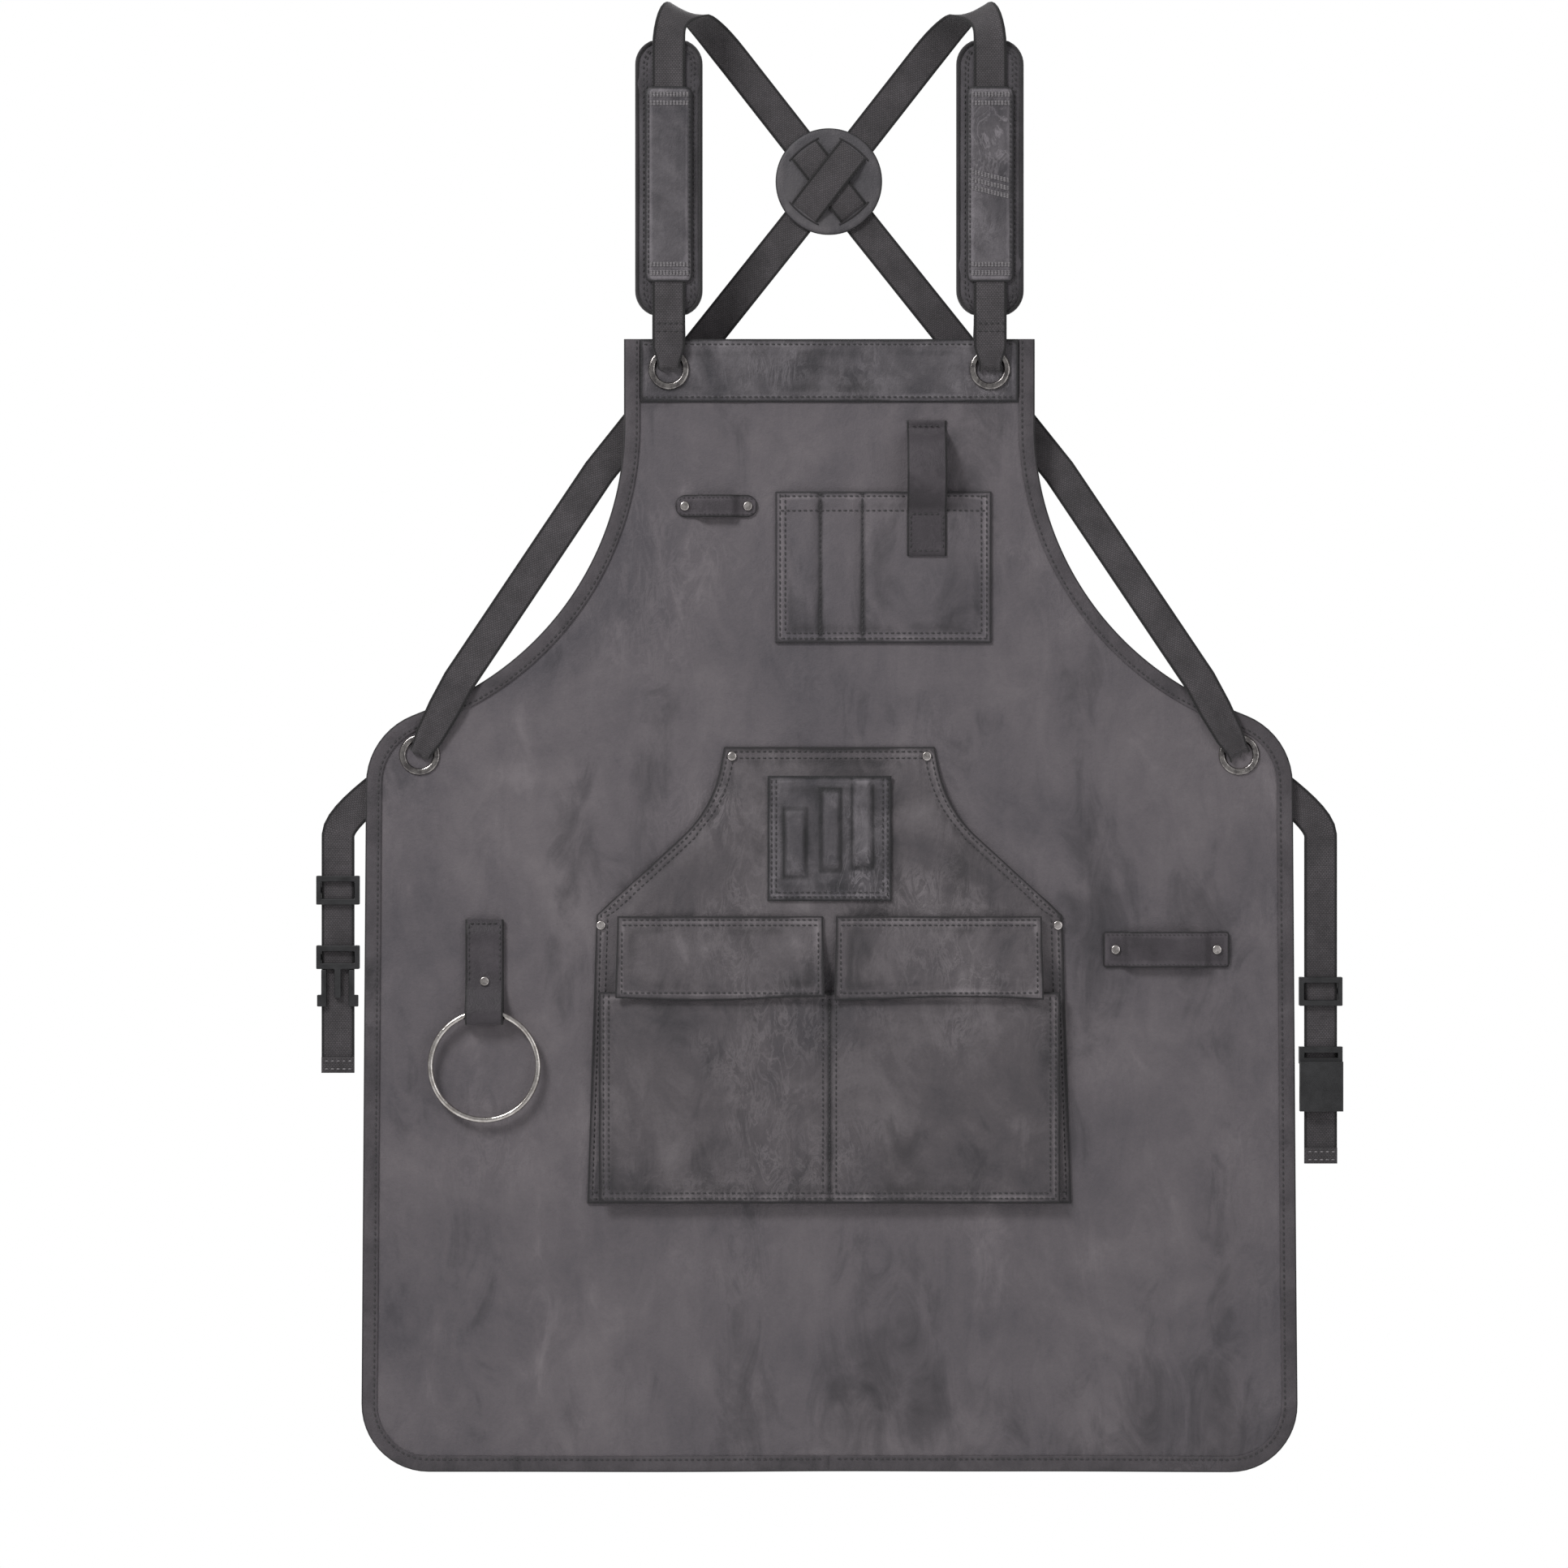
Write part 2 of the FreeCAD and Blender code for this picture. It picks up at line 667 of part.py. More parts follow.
def eyelets(name, places, front, layers):
    stack = layers * leather
    bore, washer, outer = size("eyelet_bore"), size("washer"), size("eyelet_outer")
    barrel = bore + size("eyelet_wall")
    roll = barrel + size("eyelet_roll")
    rise = size("eyelet_rise")
    end = stack + washer + size("eyelet_edge")
    profile = [(bore, -rise), (outer, -rise), (outer, 0), (barrel, 0), (barrel, stack + washer),
               (roll, stack + washer), (roll, end), (bore, end)]
    rings, backs = [], []
    for number, (x, z) in enumerate(places):
        eyelet = turned(f"{name}_eyelet_{number}", profile, [(bore, -rise), (outer, -rise)],
                        size("eyelet_dome"))
        place(eyelet, x, front, z)
        rings.append(eyelet)
        backing = new_body(f"{name}_backing_{number}")
        sketch = new_sketch(backing, "XZ_Plane", "Ring")
        circle(sketch, 0, 0, outer - size("washer_inset"))
        circle(sketch, 0, 0, barrel + size("hole_clear"))
        pad(backing, sketch, washer)
        place(backing, x, panel_back + washer, z)
        backs.append(backing)
    group(f"{name}_eyelets", rings)
    group(f"{name}_eyelet_washers", backs)


eyelets("bib", bib_eyelets, panel_front - leather, 2)
eyelets("hip", hip_eyelets, panel_front, 1)


def rivets(label, places, front, layers):
    stack = layers * leather
    head, post, rise = size("rivet_head"), size("rivet_post"), size("rivet_rise")
    foot = size("rivet_foot")
    end = stack + size("rivet_back")
    profile = [(0, -rise), (head, -rise), (head, 0), (post, 0), (post, stack), (foot, stack),
               (foot, end), (0, end)]
    studs = []
    for number, (x, z) in enumerate(places):
        stud = turned(f"{label}_{number}", profile, [(head, -rise)], size("rivet_edge"))
        place(stud, x, front, z)
        studs.append(stud)
    if len(studs) == 1:
        return keep(studs[0], label)
    return group(label, studs)


rivets("tool_pocket_rivets", pocket_studs, panel_front - leather, 2)
rivets("chest_tab_rivets", chest_studs, panel_front - leather, 2)
rivets("hip_tab_rivets", hip_studs, panel_front - leather, 2)
rivets("ring_tab_rivet", ring_studs, panel_front - 2 * leather, 3)


# ---------------------------------------------------------------- straps

def ribbon(label, stations):
    """A flat strap through (centre, across, width) stations, given in order along it."""
    thick = size("webbing").value
    sections = []
    for index, (centre, across, width) in enumerate(stations):
        before = stations[max(index - 1, 0)][0]
        after = stations[min(index + 1, len(stations) - 1)][0]
        along = (after - before).normalize()
        across = (across - along * across.dot(along)).normalize()
        out = along.cross(across)
        half, lift = across * (width / 2), out * (thick / 2)
        corners = [centre - half - lift, centre + half - lift, centre + half + lift,
                   centre - half + lift]
        sections.append(Part.makePolygon(corners + corners[:1]))
    return feature(label, Part.makeLoft(sections, True, True))


def quarter(centre, first, second, radius, steps=4):
    """Points of a quarter turn that starts at centre + first and ends at centre + second."""
    angles = [math.pi / 2 * step / steps for step in range(steps + 1)]
    return [centre + first * (radius * math.cos(a)) + second * (radius * math.sin(a))
            for a in angles]


def hermite(start, start_pull, end, end_pull, share):
    cube, square = share ** 3, share ** 2
    return (start * (2 * cube - 3 * square + 1) + start_pull * (cube - 2 * square + share)
            + end * (3 * square - 2 * cube) + end_pull * (cube - square))


def shoulder_strap(label, side, dip, layer):
    """One whole strap, drawn for the hip on +X and then mirrored for the other one."""
    width, narrow = size("webbing_width").value, size("gathered_width").value
    thick, bend = size("webbing").value, size("bend").value
    front, rear = size("front_strap").value, size("rear_strap").value
    level = size("bib_eyelet_level").value
    x = -shoulder_x.value
    up, out, right = Vector(0, 0, 1), Vector(0, -1, 0), Vector(1, 0, 0)
    gap = size("tape_gap").value
    sewn = front + thick + gap
    top = size("bib_top").value
    clear_top = top + thick + gap
    route = []

    def add(points, across, *widths):
        for number, point in enumerate(points):
            share = number / max(len(points) - 1, 1)
            wide = widths[0] + (widths[-1] - widths[0]) * share
            route.append((point, across, wide))

    add([Vector(x, sewn, size("sewn_end").value), Vector(x, sewn, clear_top + 9)], right, width)
    add([Vector(x, rear, clear_top + 1), Vector(x, rear, (clear_top + level) / 2)], right, width)
    add(quarter(Vector(x, rear - bend, level + bend), -out, -up, bend), right, narrow)
    add(quarter(Vector(x, front + bend, level + bend), -up, out, bend), right, narrow)
    add([Vector(x, front, clear_top - 2 * bend), Vector(x, front, top)], right, width)
    add([Vector(x, front, size("pad_low").value), Vector(x, front, 0)], right, width)

    angle = math.radians(size("cross_angle").value)
    down = Vector(math.sin(angle), 0, -math.cos(angle))
    behind = size("disc").value / 2 + size("rear_gap").value + thick / 2
    over = -size("disc").value / 2 - layer * (size("layer_gap").value + thick) + thick / 2
    slant = Vector(math.cos(angle), 0, math.sin(angle))
    start = Vector(x, front, size("crest_start").value)
    finish = down * (-size("crest_end").value) + Vector(0, behind, 0)
    pull = size("crest_pull").value
    steps = 14
    for step in range(steps + 1):
        share = step / steps
        point = hermite(start, up * pull, finish, down * pull, share)
        ahead = hermite(start, up * pull, finish, down * pull, min(share + 0.01, 1))
        prior = hermite(start, up * pull, finish, down * pull, max(share - 0.01, 0))
        facing = Vector(0, -math.cos(math.pi * share), math.sin(math.pi * share))
        route.append((point, (ahead - prior).cross(facing), width))

    run = size("dip_run").value
    for reach, depth in ((-dip - run, behind), (-dip, over), (dip, over), (dip + run, behind)):
        add([down * reach + Vector(0, depth, 0)], slant, width)
    last = size("armhole_level").value / -math.cos(angle)
    armhole = down * last + Vector(0, size("armhole_depth").value, 0)
    leave = down * (dip + run) + Vector(0, behind, 0)
    add([leave + (armhole - leave) * (step / 6) for step in range(1, 7)], slant, width)

    eye = Vector(hip_eyelet_x.value, 0, hip_eyelet_level.value)
    over_hip = eye + Vector(-size("hip_cross_inset").value, size("hip_strap").value,
                            size("hip_cross_rise").value)
    heading = (eye - Vector(over_hip.x, 0, over_hip.z)).normalize()
    across = Vector(-heading.z, 0, heading.x)
    add([armhole + (over_hip - armhole) * (step / 4) for step in range(1, 5)], across, width)
    entry = eye - heading * bend + Vector(0, over_hip.y + bend, 0)
    ahead_of_eye = eye - heading * (3.5 * bend) + Vector(0, over_hip.y, 0)
    add([ahead_of_eye], across, width)
    add(quarter(entry, out, heading, bend), across, narrow)
    turn = math.radians(size("exit_angle").value)
    leaving = Vector(math.sin(turn), 0, -math.cos(turn))
    across = Vector(-leaving.z, 0, leaving.x)
    exit_centre = eye + leaving * bend + Vector(0, rear - bend, 0)
    add(quarter(exit_centre, -leaving, -out, bend), across, narrow)
    begin = exit_centre + Vector(0, bend, 0)
    end = Vector(tail_x.value, rear, size("tail_top").value)
    stop = end + up * bend
    pull = size("exit_pull").value
    for step in range(1, 9):
        point = hermite(begin, leaving * pull, stop, -up * pull, step / 8)
        blend = leaving * (1 - step / 8) - up * (step / 8)
        wide = width if step > 1 else (width + narrow) / 2
        route.append((point, Vector(-blend.z, 0, blend.x), wide))
    add([end], right, width)

    if side < 0:
        def mirror(vector):
            return Vector(-vector.x, vector.y, vector.z)
        route = [(mirror(centre), mirror(across), wide) for centre, across, wide in route]
    return ribbon(label, route)


shoulder_strap("strap_left", 1, size("under_dip").value, 1)
shoulder_strap("strap_right", -1, size("over_dip").value, 2)

strap_face = size("front_strap") - webbing / 2
for name, side in sides:
    middle = side * shoulder_x
    half = size("pad_width") / 2
    low, high = size("pad_low"), size("pad_low") + size("pad_length")
    corners = rectangle(middle - half, middle + half, low, high)
    cushion = leather_patch(f"shoulder_pad_{name}", corners,
                            strap_face + webbing + size("pad_thick"), size("pad_thick"))
    round_corners(cushion, corners, size("pad_corner"))
    half = size("overlay_width") / 2
    low, high = size("overlay_low"), size("overlay_low") + size("overlay_length")
    corners = rectangle(middle - half, middle + half, low, high)
    overlay = leather_patch(f"pad_overlay_{name}", corners, strap_face, size("overlay"))
    round_corners(overlay, corners, size("overlay_corner"))


def cross_disc():
    """A round leather plate with two slots on each strap's line."""
    blank = cylinder_along("DiscBlank", "Y", size("disc_radius"), size("disc"),
                           (None, -size("disc") / 2, None))
    slots = []
    opening = size("webbing_width") + 2 * size("slot_play")
    for line in (-1, 1):
        for end in (-1, 1):
            slot = doc.addObject("Part::Box", f"Slot_{line + 1}_{end + 1}")
            bind(slot, "Length", opening)
            bind(slot, "Width", 3 * size("disc"))
            bind(slot, "Height", size("slot_width"))
            tilt = Rotation(Vector(0, 1, 0), line * DRIVING["cross_angle"])
            slot.Placement.Rotation = tilt
            reach = size("slot_start") if end > 0 else -size("slot_start") - size("slot_width")
            turn = f"({line} * Sizes.cross_angle)"
            cosine = Dim(math.cos(math.radians(line * DRIVING["cross_angle"])), f"cos({turn})")
            sine = Dim(math.sin(math.radians(line * DRIVING["cross_angle"])), f"sin({turn})")
            place(slot, sine * reach - cosine * opening / 2, -1.5 * size("disc"),
                  cosine * reach + sine * opening / 2)
            slots.append(slot)
    plate = cut("DiscSlotted", blank, fuse("DiscSlots", slots))
    keep(plate, "cross_disc")


cross_disc()


# ---------------------------------------------------------------- tails, adjusters and buckle

webbing_front = size("rear_strap") - webbing / 2
webbing_rear = size("rear_strap") + webbing / 2
tail_start = size("tail_top") - size("tail_gap")
bar_front = webbing_front - size("run_clear")
bar_rear = webbing_rear + size("run_clear")
bar_thick = size("bar_thick")


def tail(name, side):
    middle = side * tail_x
    half = size("webbing_width") / 2
    end = size(f"{name}_tail_end")
    leather_patch(f"tail_{name}", rectangle(middle - half, middle + half, end, tail_start),
                  webbing_rear, webbing)
    leather_patch(f"tail_hem_{name}",
                  rectangle(middle - half, middle + half, end, end + size("tail_hem")),
                  webbing_front, webbing)


def slider(name, middle, top, height):
    """Two rails, two bars in front of the webbing and one bar behind it."""
    bar = size("bar_height")
    pieces = []
    deep = bar_rear - bar_front + 2 * bar_thick
    for tag, start in (("A", middle - run_half - rail), ("B", middle + run_half)):
        pieces.append(box(f"{name}Rail{tag}", (start, bar_front - bar_thick, top - height),
                          (rail, deep, height)))
    span = 2 * run_half + 2 * rail
    start = middle - run_half - rail
    for tag, low in (("Top", top - bar), ("Bottom", top - height)):
        pieces.append(box(f"{name}{tag}Bar", (start, bar_front - bar_thick, low),
                          (span, bar_thick, bar)))
    pieces.append(box(f"{name}RearBar", (start, bar_rear, top - height / 2 - bar / 2),
                      (span, bar_thick, bar)))
    return pieces


for name, side in sides:
    tail(name, side)
    pieces = slider(f"Glide{name}", side * tail_x, size(f"{name}_glide_top"),
                    size("glide_height"))
    eased(f"tri_glide_{name}", fuse(f"GlideBlank{name}", pieces), "plastic_edge")


def plug():
    """The plug half: webbing frame and guide tongue, with a sprung prong each side."""
    middle = -tail_x
    top, height = size("plug_top"), size("plug_height")
    low = top - height
    pieces = slider("Plug", middle, top, height)
    half = size("tongue_half")
    pieces.append(box("PlugTongue", (middle - half, bar_front - bar_thick,
                                     low - size("tongue_length")),
                      (2 * half, bar_thick, size("tongue_length") + size("bar_height"))))
    eased("buckle_plug", fuse("PlugBlank", pieces), "plastic_edge")
    for name, side in sides:
        thick = size("prong_thick")
        wide = size("prong_outer") - size("prong_inner")
        tip = low - size("prong_root") - size("prong_length")
        inner = size("prong_inner") if side > 0 else -size("prong_outer")
        arm = box(f"Prong{name}Arm", (middle + inner, bar_front - thick, tip),
                  (wide, thick, size("prong_length")))
        hook_x = size("prong_outer") - wide / 2
        hook_x = hook_x if side > 0 else -hook_x - size("prong_hook") - wide / 2
        hook = box(f"Prong{name}Hook", (middle + hook_x, bar_front - thick, tip),
                   (size("prong_hook") + wide / 2, thick, size("hook_length")))
        eased(f"buckle_prong_{name}", fuse(f"Prong{name}Blank", [arm, hook]), "plastic_edge")


def socket():
    """The socket half: webbing frame above a flat mouth with a window in each side."""
    middle = tail_x
    top, height = size("socket_top"), size("socket_frame")
    pieces = slider("Socket", middle, top, height)
    wall, cavity = size("socket_wall"), size("socket_cavity")
    half = run_half + rail
    low = top - height - size("socket_length")
    front = bar_front - cavity - 2 * wall
    shell = box("SocketShell", (middle - half, front, low),
                (2 * half, cavity + 2 * wall, size("socket_length") + wall))
    blank = fuse("SocketBlank", pieces + [shell])
    hollow = box("SocketHollow", (middle - half + wall, front + wall, low - wall),
                 (2 * half - 2 * wall, cavity, size("socket_length")))
    window = box("SocketWindow", (middle - half - wall, front + wall, low + size("window_end")),
                 (2 * half + 2 * wall, cavity, size("window_length")))
    keep(cut("SocketCut", blank, fuse("SocketTools", [hollow, window])), "buckle_socket")


plug()
socket()


# ---------------------------------------------------------------- check and write

doc.recompute()
for item in doc.Objects:
    if "Invalid" in item.State or "Error" in item.State:
        raise RuntimeError(f"{item.Name} ({item.Label}) failed: {item.State}")
labels = [item.Label for item in nodes]
if len(labels) != len(set(labels)):
    raise RuntimeError("two sub-parts share a label")
for item in nodes:
    if item.Shape.isNull() or not item.Shape.isValid() or not item.Shape.Solids:
        raise RuntimeError(f"{item.Label} has no valid solid")
os.makedirs("parts", exist_ok=True)
for item in nodes:
    item.Shape.exportStep(f"parts/{item.Label}.step")
    extent = item.Shape.BoundBox
    print(f"{item.Label}: {len(item.Shape.Solids)} solid(s), {item.Shape.Volume:.0f} mm3,",
          f"x {extent.XMin:.1f} to {extent.XMax:.1f}, y {extent.YMin:.1f} to {extent.YMax:.1f},",
          f"z {extent.ZMin:.1f} to {extent.ZMax:.1f}")
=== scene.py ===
import math
import bmesh
import bpy
from mathutils import Matrix, Vector, noise


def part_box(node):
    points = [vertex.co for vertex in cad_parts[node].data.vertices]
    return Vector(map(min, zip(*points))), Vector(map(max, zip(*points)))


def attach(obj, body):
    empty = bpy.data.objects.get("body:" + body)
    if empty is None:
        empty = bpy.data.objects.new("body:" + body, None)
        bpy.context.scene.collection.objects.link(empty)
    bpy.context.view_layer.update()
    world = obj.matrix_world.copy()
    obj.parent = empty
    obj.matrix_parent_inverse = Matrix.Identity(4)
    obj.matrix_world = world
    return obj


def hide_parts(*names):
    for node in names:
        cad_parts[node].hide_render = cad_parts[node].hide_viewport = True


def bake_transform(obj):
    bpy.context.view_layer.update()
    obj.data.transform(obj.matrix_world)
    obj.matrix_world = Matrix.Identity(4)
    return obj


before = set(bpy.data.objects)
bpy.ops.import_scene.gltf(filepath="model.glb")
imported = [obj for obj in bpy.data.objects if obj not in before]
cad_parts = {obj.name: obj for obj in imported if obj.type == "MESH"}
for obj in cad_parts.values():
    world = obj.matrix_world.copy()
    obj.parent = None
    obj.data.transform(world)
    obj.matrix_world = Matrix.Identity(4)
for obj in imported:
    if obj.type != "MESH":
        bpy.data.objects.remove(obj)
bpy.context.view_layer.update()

# Leather work apron, in metres. Front faces -Y; the origin is the back disc's centre.
FRONT = Vector((0, -1, 0))
UP = Vector((0, 0, 1))
RIGHT = Vector((1, 0, 0))


def vec(x, y, z):
    return Vector((x, y, z))



panel_low, panel_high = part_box("apron_panel")
PANEL_FACE, PANEL_REAR = panel_low.y, panel_high.y
BIB_TOP, HEM = panel_high.z, panel_low.z
BIB_HALF, HIP_HALF, HEM_HALF = 0.155, 0.351, 0.355
ARMPIT_LEVEL, HIP_LEVEL = -0.347, -0.426
ARMHOLE_RADIUS, HIP_RADIUS, HEM_RADIUS = 0.232, 0.055, 0.050
TAPE_WIDTH, TAPE = 0.011, 0.0011
HIDE = 0.0018
EDGE_LINE, EDGE_BAND = 0.0013, 0.0042
BASE_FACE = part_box("tool_pocket_base")[0].y


# ---- mesh helpers

def smooth(share):
    share = min(max(share, 0.0), 1.0)
    return share * share * (3 - 2 * share)


def bell(distance, width):
    return math.exp(-(distance / width) ** 2)


def speckle(a, b, c):
    """Smooth noise from -1 to 1."""
    return noise.noise(vec(a, b, c))


def rounded_half(level, low, high, half, corner):
    """The half width, at a level, of a rectangle with rounded corners."""
    near = min(level - low, high - level)
    if near >= corner:
        return half
    return half - corner + math.sqrt(max(corner ** 2 - (corner - max(near, 0.0)) ** 2, 0.0))


def spans(node):
    """A CAD node's low and high corners, its width's middle and half its width."""
    low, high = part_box(node)
    return low, high, (low.x + high.x) / 2, (high.x - low.x) / 2


def running(points):
    """How far along a line each of its points lies."""
    found = [0.0]
    for before, after in zip(points, points[1:]):
        found.append(found[-1] + math.dist(before, after))
    return found


def mapped_grid(columns, rows, place):
    """A grid whose (u, v) corners run 0 to 1; place gives each point and its flat position."""
    bm = bmesh.new()
    bmesh.ops.create_grid(bm, x_segments=columns, y_segments=rows, size=0.5)
    flat = {}
    for vert in bm.verts:
        point, lay = place(vert.co.x + 0.5, vert.co.y + 0.5)
        vert.co = point
        flat[vert] = lay
    layer = bm.loops.layers.uv.new("cut")
    for face in bm.faces:
        for loop in face.loops:
            loop[layer].uv = flat[loop.vert]
    return bm


def tone_points(bm, tone_at):
    """Store at each point how much paler (up to 1: rubbed wear and painted highlight) or darker
    (down to -1: black edge paint and painted shade) the hide is.
    """
    layer = bm.verts.layers.float.new("tone")
    for vert in bm.verts:
        vert[layer] = tone_at(vert.co.x, vert.co.z)


def edged(low, high, step):
    """Positions from low to high, with two close ones inside each end for the black cut edge and
    the paler band inside it.
    """
    inner_low, inner_high = low + EDGE_BAND, high - EDGE_BAND
    count = max(round((inner_high - inner_low) / step), 2)
    inner = [inner_low + (inner_high - inner_low) * k / count for k in range(count + 1)]
    return [low, low + EDGE_LINE] + inner + [high - EDGE_LINE, high]


def edge_tone(gap):
    """Black at the painted cut edge, paler just inside it from rubbing and a painted highlight,
    with a painted shade line about 11 mm in by the inner seam, then plain.
    """
    if gap < EDGE_LINE * 0.5:
        return -1.0
    if gap < EDGE_LINE * 1.1:
        return -0.3
    pale = 0.42 * (1 - smooth((gap - EDGE_LINE) / 0.0075))
    return pale - 0.10 * bell(gap - 0.0110, 0.003)


def front_stations(points, closed=False, side=1):
    """Stations facing the front along a line; across is square to the line."""
    found, last = [], len(points) - 1
    for index, point in enumerate(points):
        before = points[index - 1 if index else (last - 1 if closed else 0)]
        after = points[index + 1 if index < last else (1 if closed else last)]
        along = (after - before).normalized()
        across = vec(-along.z, 0, along.x) * side
        found.append((point, across.normalized(), FRONT))
    return found


def close_up(bm):
    """Join the points that meet and fill the open ends."""
    bmesh.ops.remove_doubles(bm, verts=bm.verts, dist=1e-6)
    rims = [edge for edge in bm.edges if edge.is_boundary]
    bmesh.ops.holes_fill(bm, edges=rims, sides=0)


def swept(path, profile):
    """Carry a closed profile of (across, out) offsets along (point, across, out) stations."""
    outline = profile + profile[:1]
    lengths, girth = running([point for point, across, out in path]), running(outline)

    def place(u, v):
        index, number = round(u * (len(path) - 1)), round(v * (len(outline) - 1))
        point, across, out = path[index]
        a, b = outline[number]
        return point + across * a + out * b, (girth[number], lengths[index])

    bm = mapped_grid(len(path) - 1, len(outline) - 1, place)
    close_up(bm)
    return bm


def mirrored(front):
    """A section's outline from its front half: the back is the front turned half round."""
    return front + [(-a, -b) for a, b in front]


def flat_profile(width, thick):
    """A strap's cross-section with eased edges."""
    half, lift = width / 2, thick / 2
    soft, rim = thick * 0.35, half - 0.0018
    return mirrored([(-half, -lift + soft), (-half + soft, -lift), (-rim, -lift),
                     (-half / 2, -lift), (0, -lift), (half / 2, -lift), (rim, -lift),
                     (half - soft, -lift), (half, -lift + soft)])


def round_section(across, out, count):
    """An oval profile with the given half sizes."""
    angles = (2 * math.pi * k / count for k in range(count))
    return [(across * math.cos(a), out * math.sin(a)) for a in angles]


def stations(points, across_list):
    """Turn points and rough cross directions into square frames along a route."""
    found = []
    for index, point in enumerate(points):
        before = points[max(index - 1, 0)]
        after = points[min(index + 1, len(points) - 1)]
        along = (after - before).normalized()
        across = across_list[index]
        across = (across - along * across.dot(along)).normalized()
        found.append((point, across, along.cross(across)))
    return found


def piece(bm, name, material, body, stands_for=(), recalc=True):
    if recalc:
        bmesh.ops.recalc_face_normals(bm, faces=bm.faces)
    for face in bm.faces:
        face.smooth = True
    mesh = bpy.data.meshes.new(name)
    bm.to_mesh(mesh)
    bm.free()
    obj = bpy.data.objects.new(name, mesh)
    bpy.context.scene.collection.objects.link(obj)
    mesh.materials.append(material)
    if stands_for:
        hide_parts(*stands_for)
    if body:
        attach(obj, body)
    return obj


def leather_sheet(name, columns, rows, place, tone, material, stands_for, thick,
                  body="apron"):
    """A hide facing the front: toned, and given its thickness and painted cut edge behind."""
    bm = mapped_grid(columns, rows, place)
    bmesh.ops.recalc_face_normals(bm, faces=bm.faces)
    total = sum((face.normal * face.calc_area() for face in bm.faces), Vector())
    if total.y > 0:
        bmesh.ops.reverse_faces(bm, faces=bm.faces)
    tone_points(bm, tone)
    obj = piece(bm, name, material, body, stands_for, False)
    obj.data.materials.append(CUT_EDGE)
    wall = obj.modifiers.new("hide", "SOLIDIFY")
    wall.thickness = thick
    wall.offset = -1
    wall.use_even_offset = False
    wall.material_offset_rim = 1
    return obj


def rounded_outline(corners, radii, step=0.006):
    """Half outline from top to bottom as (x, z) points, with round corners, evenly filled."""
    points = [Vector(corners[0])]
    for index in range(1, len(corners)):
        corner = Vector(corners[index])
        radius = radii[index]
        if index + 1 < len(corners) and radius > 0:
            ahead = (Vector(corners[index + 1]) - corner).normalized()
            back = (Vector(corners[index - 1]) - corner).normalized()
            turn = math.pi - ahead.angle(back)
            reach = radius * math.tan(turn / 2)
            start, end = corner + back * reach, corner + ahead * reach
            centre = corner + (ahead + back).normalized() * (radius / math.cos(turn / 2))
            count = max(int(turn * radius / step), 4)
            first, last = start - centre, end - centre
            arc = [centre + (first * math.sin((1 - k / count) * turn)
                             + last * math.sin(k / count * turn)) / math.sin(turn)
                   for k in range(count + 1)]
            points.extend(arc)
        else:
            points.append(corner)
    filled = [points[0]]
    for point in points[1:]:
        gap = (point - filled[-1]).length
        count = max(int(gap / step), 1)
        start = filled[-1]
        filled.extend(start + (point - start) * (k / count) for k in range(1, count + 1))
    return filled


# ---- materials

def grey(level):
    return (level, level, level)


class Look:
    """A procedural material, built round its Principled shader."""

    def __init__(self, name, rough=0.8, metal=0.0, sheen=0.0, specular=0.5):
        self.material = bpy.data.materials.new(name)
        self.material.use_nodes = True
        self.tree = self.material.node_tree
        self.shader = self.tree.nodes["Principled BSDF"]
        for socket, value in (("Roughness", rough), ("Metallic", metal), ("Sheen Weight", sheen),
                              ("Sheen Roughness", 0.6), ("Specular IOR Level", specular)):
            self.shader.inputs[socket].default_value = value

    def feed(self, socket, value):
        """Give a socket a number, a colour, a vector or another node's output."""
        if isinstance(value, bpy.types.NodeSocket):
            self.tree.links.new(value, socket)
        elif isinstance(value, tuple) and socket.type == "RGBA":
            socket.default_value = (*value, 1)
        else:
            socket.default_value = value

    def node(self, kind, **inputs):
        """Add a node; an underscore in an input's name stands for a space."""
        made = self.tree.nodes.new(f"ShaderNode{kind}")
        for name, value in inputs.items():
            self.feed(made.inputs[name.replace("_", " ")], value)
        return made

    def place(self, stretch=(1, 1, 1)):
        source = self.node("TexCoord").outputs["Object"]
        return self.node("Mapping", Scale=stretch, Vector=source).outputs["Vector"]

    def noise(self, place, scale, detail=4.0, rough=0.55, distortion=0.0):
        return self.node("TexNoise", Scale=scale, Detail=detail, Roughness=rough,
                         Distortion=distortion, Vector=place).outputs["Fac"]

    def ramp(self, value, *stops):
        """Colours at positions along a value."""
        node = self.node("ValToRGB", Fac=value)
        elements = node.color_ramp.elements
        while len(elements) < len(stops):
            elements.new(0.5)
        for element, (position, colour) in zip(elements, stops):
            element.position = position
            element.color = (*colour, 1)
        return node.outputs["Color"]

    def mix(self, factor, first, second, mode="MIX"):
        node = self.node("Mix")
        node.data_type = "RGBA"
        node.blend_type = mode
        for name, value in (("Factor", factor), ("A", first), ("B", second)):
            self.feed([item for item in node.inputs if item.name == name and item.enabled][0],
                      value)
        return [item for item in node.outputs if item.enabled][0]

    def sums(self, *parts):
        """Add (value, weight) parts together."""
        total = 0.0
        for value, weight in parts:
            node = self.node("Math")
            node.operation = "MULTIPLY_ADD"
            for socket, entry in zip(node.inputs, (value, weight, total)):
                self.feed(socket, entry)
            total = node.outputs[0]
        return total

    def attribute(self, name):
        node = self.node("Attribute")
        node.attribute_name = name
        return node.outputs["Fac"]

    def finish(self, colour=None, rough=None, height=None, depth=0.0):
        """Feed the shader and hand the material over."""
        if height:
            bump = self.node("Bump", Distance=depth, Height=height)
            self.feed(self.shader.inputs["Normal"], bump.outputs["Normal"])
        for name, value in (("Base Color", colour), ("Roughness", rough)):
            if value:
                self.feed(self.shader.inputs[name], value)
        return self.material


